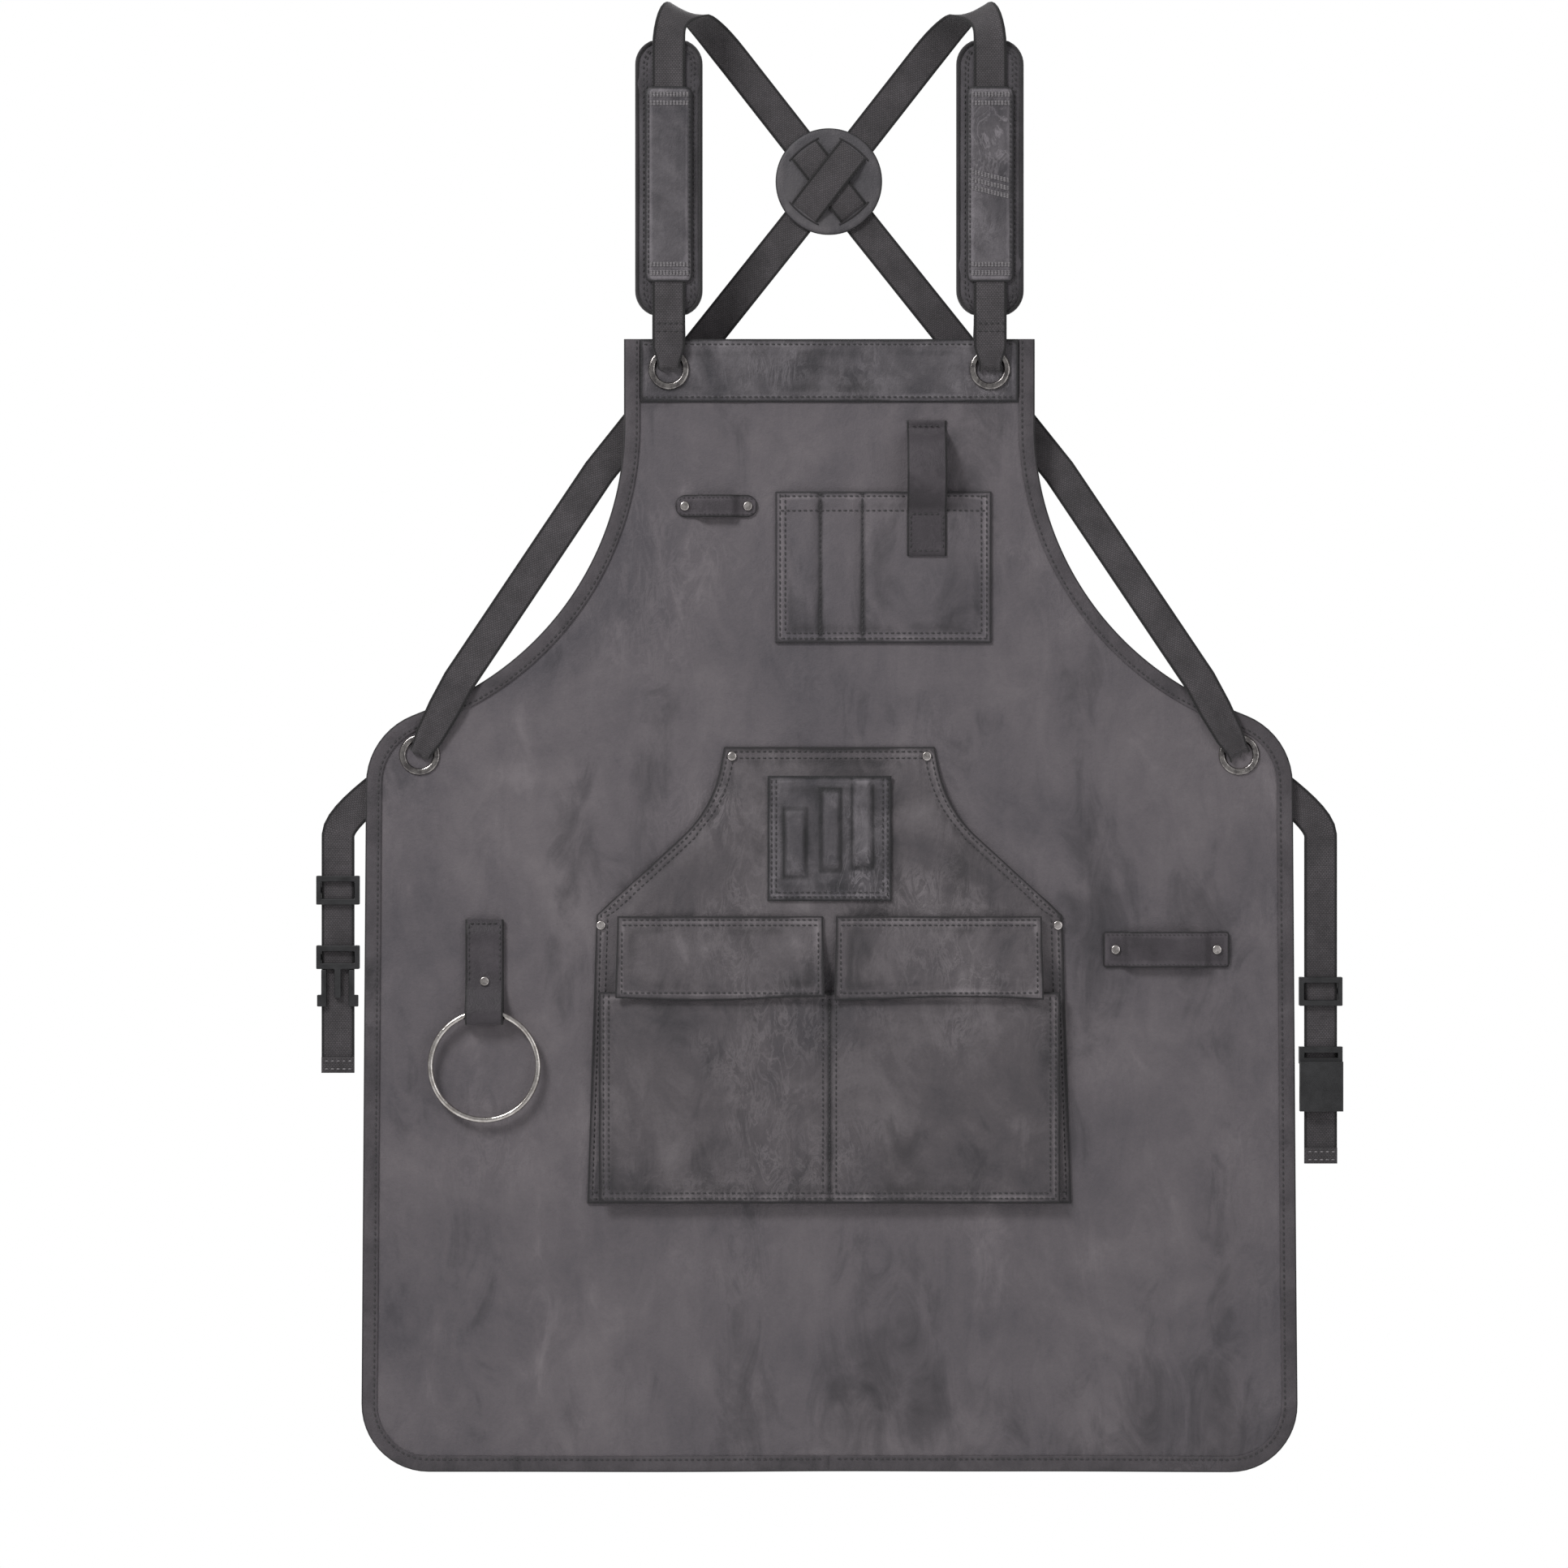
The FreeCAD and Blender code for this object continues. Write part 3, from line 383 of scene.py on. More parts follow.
def leather(name, dark, middle, light, crease, mottle, rough=(0.62, 0.86)):
    """Waxed, rubbed hide: cloudy colour, fine pores, wrinkles and lighter rubbed creases."""
    look = Look(name, sheen=0.08, specular=0.35)
    place, long_place = look.place(), look.place((1.0, 1.0, 0.45))
    clouds = look.noise(place, mottle, 6.0, 0.62, 0.6)
    smears = look.noise(long_place, 34.0, 5.0, 0.65, 1.2)
    dust = look.noise(place, 420.0, 3.0, 0.6)
    tone = look.sums((clouds, 0.62), (smears, 0.3), (dust, 0.12))
    colour = look.ramp(tone, (0.36, dark), (0.52, middle), (0.7, light))
    wrinkle = look.noise(long_place, 70.0, 7.0, 0.7, 1.2)
    ridge = look.ramp(wrinkle, (0.44, grey(0)), (0.5, grey(1)), (0.56, grey(0)))
    where = look.ramp(look.noise(place, 11.0, 3.0), (0.5, grey(0)), (0.68, grey(1)))
    amount = look.sums((look.mix(1.0, ridge, where, "MULTIPLY"), crease))
    colour = look.mix(amount, colour, tuple(v * 1.75 for v in light))
    # Per-point tone: paler where rubbed and where a highlight is painted, black at painted cut
    # edges and where shade is painted.
    wear_and_painted_light = look.sums((look.attribute("tone"), 1.0), (smears, 0.5), (clouds, 0.3))
    rubbed = look.ramp(wear_and_painted_light, (0.52, grey(0)), (1.3, grey(0.8)))
    black = look.ramp(wear_and_painted_light, (0.0, grey(0.9)), (0.34, grey(0)))
    colour = look.mix(rubbed, colour, tuple(v * 1.8 for v in light))
    colour = look.mix(black, colour, tuple(v * 0.22 for v in dark))
    shine = look.ramp(tone, (0.35, grey(rough[0])), (0.7, grey(rough[1])))
    pores = look.node("TexVoronoi", Scale=900.0, Vector=place).outputs["Distance"]
    height = look.sums((pores, 0.18), (dust, 0.35), (smears, 0.5), (wrinkle, 0.8 * crease),
                       (amount, -0.6))
    return look.finish(colour, shine, height, 0.0011)


RIB, CROSS_RIB = 0.0014, 0.0022


def woven(name, dark, light):
    """Flat webbing on the piece's own cut map: ribs across, darker sides, faint wear."""
    look = Look(name, rough=0.86, sheen=0.15, specular=0.25)
    cut_map = look.node("TexCoord").outputs["UV"]
    ribs = look.node("Mapping", Scale=(1 / CROSS_RIB, 1 / RIB, 1), Vector=cut_map).outputs["Vector"]
    weave = look.node("TexBrick", Color1=light, Color2=tuple(0.8 * v for v in light), Mortar=dark,
                      Scale=1.0, Mortar_Size=0.12, Mortar_Smooth=0.8, Brick_Width=1.0,
                      Row_Height=1.0, Vector=ribs)
    place = look.place()
    shade = look.ramp(look.noise(place, 38.0, 5.0, 0.6), (0.35, grey(0.74)), (0.7, grey(1.25)))
    colour = look.mix(1.0, weave.outputs["Color"], shade, "MULTIPLY")
    colour = look.mix(look.attribute("selvedge"), colour, tuple(0.4 * v for v in dark))
    height = look.sums((weave.outputs["Fac"], -0.7), (look.noise(place, 900.0, 2.0), 0.4))
    return look.finish(colour, None, height, 0.0005)


def pad_fabric(name, dark, light):
    """Close-woven cover cloth with a slight nap."""
    look = Look(name, rough=0.9, sheen=0.2, specular=0.2)
    place = look.place()
    patches = look.noise(place, 26.0, 6.0, 0.65)
    nap = look.noise(place, 1100.0, 2.0)
    colour = look.ramp(look.sums((patches, 0.7), (nap, 0.3)), (0.36, dark), (0.66, light))
    return look.finish(colour, None, look.sums((nap, 0.6), (patches, 0.6)), 0.0007)


def metal(name, colour, tarnish, rough):
    """Plated metal, smeared and slightly tarnished."""
    look = Look(name, metal=1.0)
    stain = look.noise(look.place(), 160.0, 5.0, 0.65)
    scratch = look.noise(look.place((1, 1, 14)), 420.0, 3.0)
    shine = look.ramp(stain, (0.35, grey(rough[1])), (0.65, grey(rough[0])))
    return look.finish(look.ramp(stain, (0.4, tarnish), (0.58, colour)), shine,
                       look.sums((scratch, 0.5), (stain, 0.5)), 0.00012)


def moulded(name, dark, light):
    """Black moulded plastic with a fine spark texture and rubbed spots."""
    look = Look(name, rough=0.5, specular=0.45)
    place = look.place()
    spark, rub = look.noise(place, 1500.0, 2.0), look.noise(place, 90.0)
    colour = look.ramp(look.sums((rub, 0.75), (spark, 0.25)), (0.4, dark), (0.72, light))
    shine = look.ramp(rub, (0.3, grey(0.38)), (0.7, grey(0.6)))
    return look.finish(colour, shine, spark, 0.00012)


def thread(name, dark, light):
    look = Look(name, rough=0.75, sheen=0.1)
    twist = look.noise(look.place(), 700.0, 2.0)
    return look.finish(look.ramp(twist, (0.35, dark), (0.65, light)), None, twist, 0.0002)


def matt_floor():
    look = Look("studio_floor", rough=0.95, specular=0.1)
    soft = look.noise(look.place(), 1.5, 2.0)
    return look.finish(look.ramp(soft, (0.3, grey(0.93)), (0.7, grey(0.96))))


PANEL_HIDE = leather("panel_hide", (0.062, 0.056, 0.065), (0.098, 0.087, 0.096),
                     (0.142, 0.127, 0.135), crease=0.16, mottle=7.0)
POCKET_HIDE = leather("pocket_hide", (0.042, 0.038, 0.044), (0.076, 0.067, 0.073),
                      (0.132, 0.119, 0.126), crease=0.42, mottle=15.0)
BAND_HIDE = leather("creased_hide", (0.029, 0.027, 0.033), (0.064, 0.058, 0.065),
                    (0.126, 0.116, 0.126), crease=0.8, rough=(0.5, 0.78), mottle=24.0)
TAB_HIDE = leather("tab_hide", (0.021, 0.018, 0.021), (0.038, 0.032, 0.038),
                   (0.062, 0.054, 0.061), crease=0.25, rough=(0.5, 0.72), mottle=22.0)
DISC_HIDE = leather("disc_hide", (0.040, 0.038, 0.043), (0.060, 0.056, 0.062),
                    (0.09, 0.083, 0.088), crease=0.2, rough=(0.5, 0.7), mottle=24.0)
CUT_EDGE = leather("cut_edge", (0.012, 0.011, 0.012), (0.018, 0.016, 0.018),
                   (0.03, 0.027, 0.029), crease=0.1, mottle=40.0)
EDGE_TAPE = leather("edge_tape", (0.030, 0.027, 0.031), (0.058, 0.051, 0.057),
                    (0.088, 0.079, 0.086), crease=0.2, mottle=26.0)
PIPING = pad_fabric("pad_piping", (0.012, 0.011, 0.012), (0.032, 0.029, 0.032))
PAD_CLOTH = pad_fabric("pad_cloth", (0.032, 0.029, 0.033), (0.080, 0.073, 0.081))
WEBBING = woven("webbing", (0.020, 0.018, 0.020), (0.068, 0.061, 0.066))
STEEL = metal("ring_steel", (0.60, 0.57, 0.55), (0.40, 0.37, 0.35), (0.10, 0.2))
NICKEL = metal("eyelet_nickel", (0.34, 0.32, 0.31), (0.13, 0.12, 0.12), (0.12, 0.26))
RIVET = metal("rivet_steel", (0.62, 0.58, 0.57), (0.3, 0.28, 0.27), (0.16, 0.3))
PLASTIC = moulded("black_plastic", (0.008, 0.008, 0.009), (0.022, 0.022, 0.024))
THREAD = thread("dark_thread", (0.016, 0.015, 0.017), (0.035, 0.032, 0.035))
PALE_THREAD = thread("pale_thread", (0.12, 0.112, 0.12), (0.22, 0.205, 0.215))


# ---- stitches

STITCH_STAND = 0.0003
stitch_bags = {}


def stitch_bag(body, material):
    key = (body, material.name)
    if key not in stitch_bags:
        stitch_bags[key] = (bmesh.new(), material)
    return stitch_bags[key][0]


def stitches(points, body="apron", material=THREAD, pitch=0.0044, length=0.0032,
             width=0.0013):
    """A row of short raised stitches along a line that lies on the leather's face."""
    bm = stitch_bag(body, material)
    walked, target = 0.0, pitch / 2
    for before, after in zip(points, points[1:]):
        run = (after - before).length
        if run < 1e-6:
            continue
        along = (after - before) / run
        side = along.cross(FRONT).normalized()
        top = side.cross(along)
        while target <= walked + run:
            middle = before + along * (target - walked) + FRONT * STITCH_STAND
            turn = Matrix((along * length / 2, side * width / 2, top * width / 3)).transposed()
            place = Matrix.Translation(middle) @ turn.to_4x4()
            bmesh.ops.create_icosphere(bm, subdivisions=1, radius=1.0, matrix=place)
            target += pitch
        walked += run


def seam(x0, z0, x1, z1, y, count, **style):
    """Stitches from one (x, z) to another; y is a number or a function of x and z."""
    found = []
    for step in range(count + 1):
        share = step / count
        x, z = x0 + (x1 - x0) * share, z0 + (z1 - z0) * share
        found.append(vec(x, y(x, z) if callable(y) else y, z))
    stitches(found, **style)


# ---- apron panel and edge tape

LOOSE_TOP, LOOSE_RUN = -0.80, 0.16


def panel_face(x, z):
    """Depth of the panel's front: flat where hardware is fixed, softly waved at the hem."""
    loose = smooth((LOOSE_TOP - z) / LOOSE_RUN)
    wave = math.sin(x * 13.0 + 0.7) * 0.6 + math.sin(x * 29.0 + 2.1) * 0.25
    ripple = speckle(x * 9, 0.3, z * 7) * 0.9
    return PANEL_FACE + loose * 0.0036 * wave + loose * 0.0012 * ripple


panel_outline = rounded_outline(
    [(BIB_HALF, BIB_TOP), (BIB_HALF, ARMPIT_LEVEL), (HIP_HALF, HIP_LEVEL), (HEM_HALF, HEM),
     (0.0, HEM)],
    [0, ARMHOLE_RADIUS, HIP_RADIUS, HEM_RADIUS, 0])
side_points = [point for point in panel_outline if point.y > HEM + 1e-5]
corner_end = max(point.x for point in panel_outline if point.y <= HEM + 1e-5)
side_points.append(Vector((corner_end, HEM)))


def panel_tone(x, z):
    """Long rubbed marks down the panel, darker towards its bound edges."""
    streak = speckle(x * 22, 5.1, z * 5) * 0.17
    blot = speckle(x * 7, 9.3, z * 8) * 0.15
    bound = smooth((z + 0.93) / 0.05) - 1
    return streak + blot + 0.06 * bound


PANEL_COLUMNS = 110


def apron_panel():
    def place(u, v):
        point = side_points[round(v * (len(side_points) - 1))]
        x, z = (2 * u - 1) * point.x, point.y
        return vec(x, panel_face(x, z), z), (x, z)

    obj = leather_sheet("apron_hide", PANEL_COLUMNS, len(side_points) - 1, place, panel_tone,
                        PANEL_HIDE, ["apron_panel"], HIDE)


apron_panel()


FOLD_GIRTH = TAPE_WIDTH + 0.0024


def blacken(bm, chosen):
    """Give the second material to the faces whose place round the section is chosen."""
    layer = bm.loops.layers.uv["cut"]
    for face in bm.faces:
        girth = sum(loop[layer].uv.x for loop in face.loops) / len(face.loops)
        if chosen(girth):
            face.material_index = 1


def edge_tape(name, side):
    """Folded tape over the panel's edge, from the bib's top corner to the hem's middle."""
    route = [vec(side * p.x, panel_face(p.x * side, p.y), p.y) for p in panel_outline]
    path = front_stations(route, side=side)
    rear, bulge, inset = PANEL_REAR - PANEL_FACE, 0.0010, 0.0085
    profile = [(-TAPE_WIDTH, 0.0001), (-TAPE_WIDTH, TAPE * 0.8), (-TAPE_WIDTH + 0.001, TAPE),
               (-0.004, TAPE * 1.12), (0, TAPE), (bulge, TAPE * 0.3), (bulge * 1.2, -rear / 2),
               (bulge, -rear - TAPE * 0.3), (0, -rear - TAPE), (-TAPE_WIDTH, -rear - TAPE),
               (-TAPE_WIDTH, -rear - 0.0001), (-0.0002, -rear), (-0.0002, 0.0001)]
    bm = swept(path, profile)
    blacken(bm, lambda girth: abs(girth - FOLD_GIRTH) < 0.0016)
    obj = piece(bm, f"edge_tape_{name}", EDGE_TAPE, "apron", [f"binding_{name}"])
    obj.data.materials.append(CUT_EDGE)
    rows = [point - across * inset + out * TAPE for point, across, out in path[:-1]]
    stitches(rows, pitch=0.0046)


edge_tape("left", -1)
edge_tape("right", 1)


# ---- sewn patches and pockets

SEAM, DOUBLE_SEAM = 0.0035, 0.0075


def patch(name, half_at, rows, middle, lift_at, material, stands_for, step=0.003,
          thick=HIDE, tone_at=None):
    """A leather patch: half_at(z) gives its half width, lift_at(x, z) its front's depth."""
    widest = max(half_at(z) for z in rows)
    columns = len(edged(-widest, widest, step)) - 1
    stride = (2 * widest - 2 * EDGE_BAND) / (columns - 4)

    def place(u, v):
        z = rows[round(v * (len(rows) - 1))]
        half = half_at(z)
        number = round(u * columns)
        inner = stride * (half - EDGE_BAND) / (widest - EDGE_BAND)
        spots = {0: -half, 1: -half + EDGE_LINE, columns - 1: half - EDGE_LINE, columns: half}
        offset = spots.get(number, -half + EDGE_BAND + (number - 2) * inner)
        x = middle + offset
        return vec(x, lift_at(x, z), z), (x, z)

    def tone(x, z):
        gap = min(half_at(z) - abs(x - middle), rows[0] - z, z - rows[-1])
        return edge_tone(gap) + (tone_at(x, z) if tone_at else 0.0)

    obj = leather_sheet(name, columns, len(rows) - 1, place, tone, material, stands_for,
                        thick)
    outline = sum(abs(b - a) * (half_at(a) + half_at(b)) for a, b in zip(rows, rows[1:]))


def levels(top, bottom, step):
    return list(reversed(edged(bottom, top, step)))


def puff(x, z, low_x, high_x, low_z, rise, ease=0.024):
    """How far a sewn pocket's front stands off, from 0 at the seams to rise inside."""
    return rise * (smooth((x - low_x) / ease) * smooth((high_x - x) / ease)
                   * smooth((z - low_z) / ease))


def pocket_box(node):
    low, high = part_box(node)
    return low.x, high.x, low.z, high.z


def stitch_round(low_x, high_x, low_z, top, inset, face, count):
    """Stitches down both sides of a pocket and along its bottom."""
    seam(low_x + inset, top, low_x + inset, low_z + inset, face, count)
    seam(low_x + inset, low_z + inset, high_x - inset, low_z + inset, face, count)
    seam(high_x - inset, low_z + inset, high_x - inset, top, face, count)


def simple_pocket(name, nodes, face, rise, splits, material=POCKET_HIDE,
                  split_width=0.0045, step=0.003):
    """A pocket front sewn at its sides and bottom, held down along its split lines."""
    boxes = [pocket_box(node) for node in nodes]
    low_x, high_x = min(box[0] for box in boxes), max(box[1] for box in boxes)
    low_z, high_z = boxes[0][2:]
    middle, half = (low_x + high_x) / 2, (high_x - low_x) / 2

    def lift(x, z):
        stand = puff(x, z, low_x + 0.006, high_x - 0.006, low_z + 0.006, rise)
        stand *= 1 - 0.3 * smooth((z - high_z + 0.022) / 0.022)
        for split in splits:
            stand *= 1 - 0.9 * bell(x - split, split_width)
        fold = speckle(x * 30, 1.7, z * 22) * 0.0007 * smooth(stand / 0.001)
        return face - HIDE - stand - fold

    def tone(x, z):
        # Darker along the sewn-down split lines: painted shade in their creases.
        dark = sum(bell(x - split, 0.0021) for split in splits)
        return 0.22 * speckle(x * 26, face * 50, z * 9) - 0.42 * dark

    patch(name, lambda z: half, levels(high_z, low_z, step), middle, lift, material, nodes,
          step, tone_at=tone)
    for inset in (SEAM, DOUBLE_SEAM):
        stitch_round(low_x, high_x, low_z, high_z - 0.001, inset, lift, 40)
    for split in splits:
        seam(split, high_z, split, low_z + SEAM, lift, 30)
    return lift


chest_low, chest_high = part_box("chest_pocket")
chest_lift = simple_pocket("chest_pocket_front", ["chest_pocket"], PANEL_FACE, 0.0026,
                           (chest_low.x + 0.034, chest_low.x + 0.066), material=PANEL_HIDE,
                           step=0.0018)
for level in (0.0035, 0.0145):
    seam(chest_low.x + 0.003, chest_high.z - level, chest_high.x - 0.003, chest_high.z - level,
         chest_lift, 40)


BASE_TOP, BASE_BOTTOM = -0.435, -0.782
base_outline = rounded_outline(
    [(0.080, BASE_TOP), (0.089, -0.482), (0.177, -0.563), (0.184, BASE_BOTTOM)],
    [0, 0.095, 0, 0], step=0.005)


def half_of(outline):
    def half_at(z):
        for before, after in zip(outline, outline[1:]):
            if after.y <= z <= before.y + 1e-7:
                if before.y - after.y < 1e-6:
                    return after.x
                share = (before.y - z) / (before.y - after.y)
                return before.x + (after.x - before.x) * share
        return outline[-1].x
    return half_at


base_half = half_of(base_outline)


def base_lift(x, z):
    """The tool pocket's front: sewn flat at its hems and lower sides, open at the curves."""
    half = base_half(z)
    hem = smooth((BASE_TOP - 0.006 - z) / 0.03) * smooth((z - BASE_BOTTOM - 0.004) / 0.016)
    sewn = smooth((half - abs(x) - 0.004) / 0.022)
    open_side = smooth((z + 0.560) / 0.012)
    side = max(sewn, open_side * (0.45 + 0.55 * sewn))
    crease = speckle(x * 16, 4.2, z * 16) * 0.0007
    return PANEL_FACE - HIDE - (0.0060 * side + crease * side) * hem


def base_tone(x, z):
    """Rubbed marks, and painted shade beside the small pocket and under the flaps."""
    # Painted shade beside the small pocket.
    shade_beside_pen_pocket = smooth((0.02 - abs(abs(x) - 0.052)) / 0.02) * smooth((-0.46 - z) / 0.02)
    shade_beside_pen_pocket *= smooth((z + 0.555) / 0.02)
    # Painted shade in a band under the flaps.
    under = smooth((0.010 - abs(z + 0.563)) / 0.01)
    return 0.25 * speckle(x * 24, 7.7, z * 12) - 0.10 * shade_beside_pen_pocket - 0.12 * under


base_rows = [BASE_TOP, BASE_TOP - EDGE_LINE]
base_rows += [point.y for point in base_outline
              if BASE_BOTTOM + EDGE_BAND < point.y < BASE_TOP - EDGE_BAND]
base_rows += [BASE_BOTTOM + EDGE_BAND, BASE_BOTTOM + EDGE_LINE, BASE_BOTTOM]
patch("tool_pocket_front", base_half, base_rows, 0.0, base_lift, POCKET_HIDE,
      ["tool_pocket_base"], tone_at=base_tone)
for inset in (SEAM, 0.0085):
    for side in (-1, 1):
        edge = []
        for point in base_outline:
            x = side * (point.x - inset * (1.25 if -0.56 < point.y < -0.5 else 1.0))
            if point.y > BASE_TOP - 0.002 or point.y < BASE_BOTTOM + inset:
                continue
            edge.append(vec(x, base_lift(x, point.y), point.y))
        stitches(edge)
    seam(-0.078, BASE_TOP - inset, 0.078, BASE_TOP - inset, base_lift, 40)
    seam(-0.180, BASE_BOTTOM + inset, 0.180, BASE_BOTTOM + inset, base_lift, 60)


def pen_pocket():
    """A small patch with three moulded tool channels standing up from it."""
    low_x, high_x, low_z, high_z = pocket_box("pen_pocket")
    half = (high_x - low_x) / 2
    channels = [(centre, high_z + top, wide, high_z + top - long) for centre, top, wide, long in (
        (-0.026, -0.025, 0.0085, 0.052), (0.001, -0.010, 0.0075, 0.062),
        (0.025, 0.0, 0.0080, 0.070))]

    def lift(x, z):
        stand = puff(x, z, low_x + 0.004, high_x - 0.004, low_z + 0.004, 0.0012, 0.012)
        ridge = 0.0
        for centre, start, wide, end in channels:
            across = smooth((wide - abs(x - centre)) / 0.0035)
            along = smooth((start - z) / 0.005) * smooth((z - end) / 0.005)
            ridge = max(ridge, across * along)
        wrinkle = speckle(x * 60, 0.4, z * 60) * 0.0005
        return BASE_FACE - HIDE * 0.7 - stand - 0.0032 * ridge - wrinkle * ridge

    def tone(x, z):
        found = 0.0
        for centre, start, wide, end in channels:
            gap = max(abs(x - centre) - wide, z - start, end - z)
            # Paler on the channels' tops as a painted highlight, darker round their feet as painted
            # shade.
            found += 0.2 * smooth((-0.002 - gap) / 0.003) - 0.3 * bell(gap, 0.0016)
        return found - 0.06

    patch("pen_pocket_front", lambda z: half, levels(high_z, low_z, 0.0018), 0.0, lift,
          BAND_HIDE, ["pen_pocket"], 0.0016, tone_at=tone)
    for inset in (0.003, 0.0065):
        stitch_round(low_x, high_x, low_z, high_z - 0.002, inset, lift, 30)


pen_pocket()
lower_lift = simple_pocket("lower_pocket_front", ["lower_pocket_left", "lower_pocket_right"],
                           BASE_FACE, 0.0036, (0.0,), split_width=0.009)
lower_low, lower_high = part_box("lower_pocket_left")
for x in (-0.005, 0.005):
    seam(x, lower_high.z, x, lower_low.z + 0.004, lower_lift, 60)


def bib_band():
    """The creased band across the bib's top, turned over the edge and stitched below."""
    low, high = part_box("bib_band")
    half = high.x

    def lift(x, z):
        stand = 0.0010 * smooth((z - low.z) / 0.006) * smooth((high.z - z + 0.002) / 0.006)
        wrinkle = speckle(x * 55, 2.2, z * 38) * 0.0005
        near = min(abs(abs(x) - 0.122), 1.0)
        calm = smooth((math.hypot(near, z + 0.148) - 0.016) / 0.012)
        return PANEL_FACE - 0.0010 - (stand + wrinkle) * calm - 0.0006 * (1 - calm)

    def tone(x, z):
        return 0.3 * speckle(x * 20, 1.1, z * 30) - 0.04

    patch("bib_band_hide", lambda z: half, levels(high.z, low.z, 0.002), 0.0, lift,
          BAND_HIDE, ["bib_band"], 0.002, thick=0.001,
          tone_at=tone)
    seam(-half + 0.002, low.z + 0.004, half - 0.002, low.z + 0.004, lift, 60)
    seam(-half + 0.002, high.z - 0.004, half - 0.002, high.z - 0.004, lift, 60)


bib_band()


# ---- flaps

def flap(name, side):
    """One leather leaf: its top is sewn to the tool pocket, the rest lifts at the fold."""
    body = f"flap_{name}"
    strip_low, strip_high, middle, half = spans(f"flap_seam_{name}")
    leaf_low, leaf_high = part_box(body)
    top, bottom, fold = strip_high.z, leaf_low.z, leaf_high.z

    def lift(x, z):
        share = smooth((fold + 0.002 - z) / (fold - bottom) * 1.15)
        wave = math.sin((x - middle) / half * 2.6 + side) * 0.0009 * share
        crease = speckle(x * 40, side * 3.0, z * 40) * 0.0006 * share
        return strip_low.y + (leaf_low.y - strip_low.y + 0.0006) * share - wave - crease

    def half_at(z):
        return half + 0.0012 * smooth((top - z) / (top - bottom))

    def droop_at(x):
        return 0.0014 * math.sin((x - middle) / half * 2.6 + side)

    rows = levels(top, bottom, 0.0022)
    spots = edged(-half, half, 0.0026)

    def place(u, v):
        z = rows[round(v * (len(rows) - 1))]
        x = middle + spots[round(u * (len(spots) - 1))] * half_at(z) / half
        droop = droop_at(x) * smooth((fold - z) / (fold - bottom))
        return vec(x, lift(x, z), z + droop), (x, z)

    def tone(x, z):
        gap = min(half_at(z) - abs(x - middle), top - z, z - bottom - droop_at(x))
        return edge_tone(gap) + 0.25 * speckle(x * 24, side * 5.0, z * 24)

    obj = leather_sheet(f"flap_leaf_{name}", len(spots) - 1, len(rows) - 1, place, tone,
                        POCKET_HIDE, [f"flap_seam_{name}", body],
                        0.0019, None)
    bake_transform(obj)
    for level in (0.0028, 0.0068):
        seam(middle - half + 0.003, top - level, middle + half - 0.003, top - level, lift, 40)
    for x in (middle - half + 0.0035, middle + half - 0.0035):
        seam(x, fold - 0.002, x, bottom + 0.005, lift, 16, body=body)
    seam(middle - half + 0.004, bottom + 0.0045, middle + half - 0.004, bottom + 0.0045, lift, 40,
         body=body)


flap("left", -1)
flap("right", 1)


# ---- tabs, loop and ring

def leather_strip(node, points, width):
    """A 2 mm leather strip along upright points, painted black at its edges."""
    bm = swept(stations(points, [RIGHT] * len(points)), flat_profile(width, 0.002))
    middle = points[0].x
    tone_points(bm, lambda x, z: -1.0 if abs(x - middle) > width / 2 - 0.0009 else 0.08)
    piece(bm, f"{node}_strap", TAB_HIDE, "apron", [node])


def smooth_route(corners, steps):
    """A soft line through corner points."""
    points = []
    padded = [corners[0] * 2 - corners[1]] + corners + [corners[-1] * 2 - corners[-2]]
    for a, b, c, d in zip(padded, padded[1:], padded[2:], padded[3:]):
        for step in range(steps):
            t = step / steps
            points.append(0.5 * (b * 2 + (c - a) * t + (a * 2 - b * 5 + c * 4 - d) * t * t
                                 + (b * 3 - a - c * 3 + d) * t * t * t))
    return points + [corners[-1]]


def bridge_tab(node, corner):
    """A riveted strap with a raised middle."""
    low, high, middle, half = spans(node)
    level, tall = (low.z + high.z) / 2, (high.z - low.z) / 2
    rise = high.y - low.y - 0.002

    def lift(x):
        return low.y + rise * (1 - smooth((half - 0.013 - abs(x - middle)) / 0.007))

    def half_tall(x):
        return rounded_half(x, middle - half, middle + half, tall, corner)

    def place(u, v):
        across = math.sin((u - 0.5) * math.pi)
        x = middle + half * (0.35 * (2 * u - 1) + 0.65 * across)
        z = level + (2 * v - 1) * max(half_tall(x), 0.0006)
        crown = 0.0005 * (1 - (2 * v - 1) ** 4)
        return vec(x, lift(x) + 0.0005 - crown, z), (x, z)

    def tone(x, z):
        return 0.7 * edge_tone(min(half - abs(x - middle), half_tall(x) - abs(z - level)))

    leather_sheet(f"{node}_strap", 64, 14, place, tone, TAB_HIDE, [node], HIDE)
    inset = 0.0022
    for side in (-1, 1):
        row = []
        for step in range(41):
            x = middle - half + inset + 2 * (half - inset) * step / 40
            z = level + side * max(half_tall(x) - inset, 0.0)
            row.append(vec(x, lift(x), z))
        stitches(row, pitch=0.0034, length=0.0022, width=0.0006)


bridge_tab("chest_tab", 0.008)
bridge_tab("hip_tab", 0.0025)


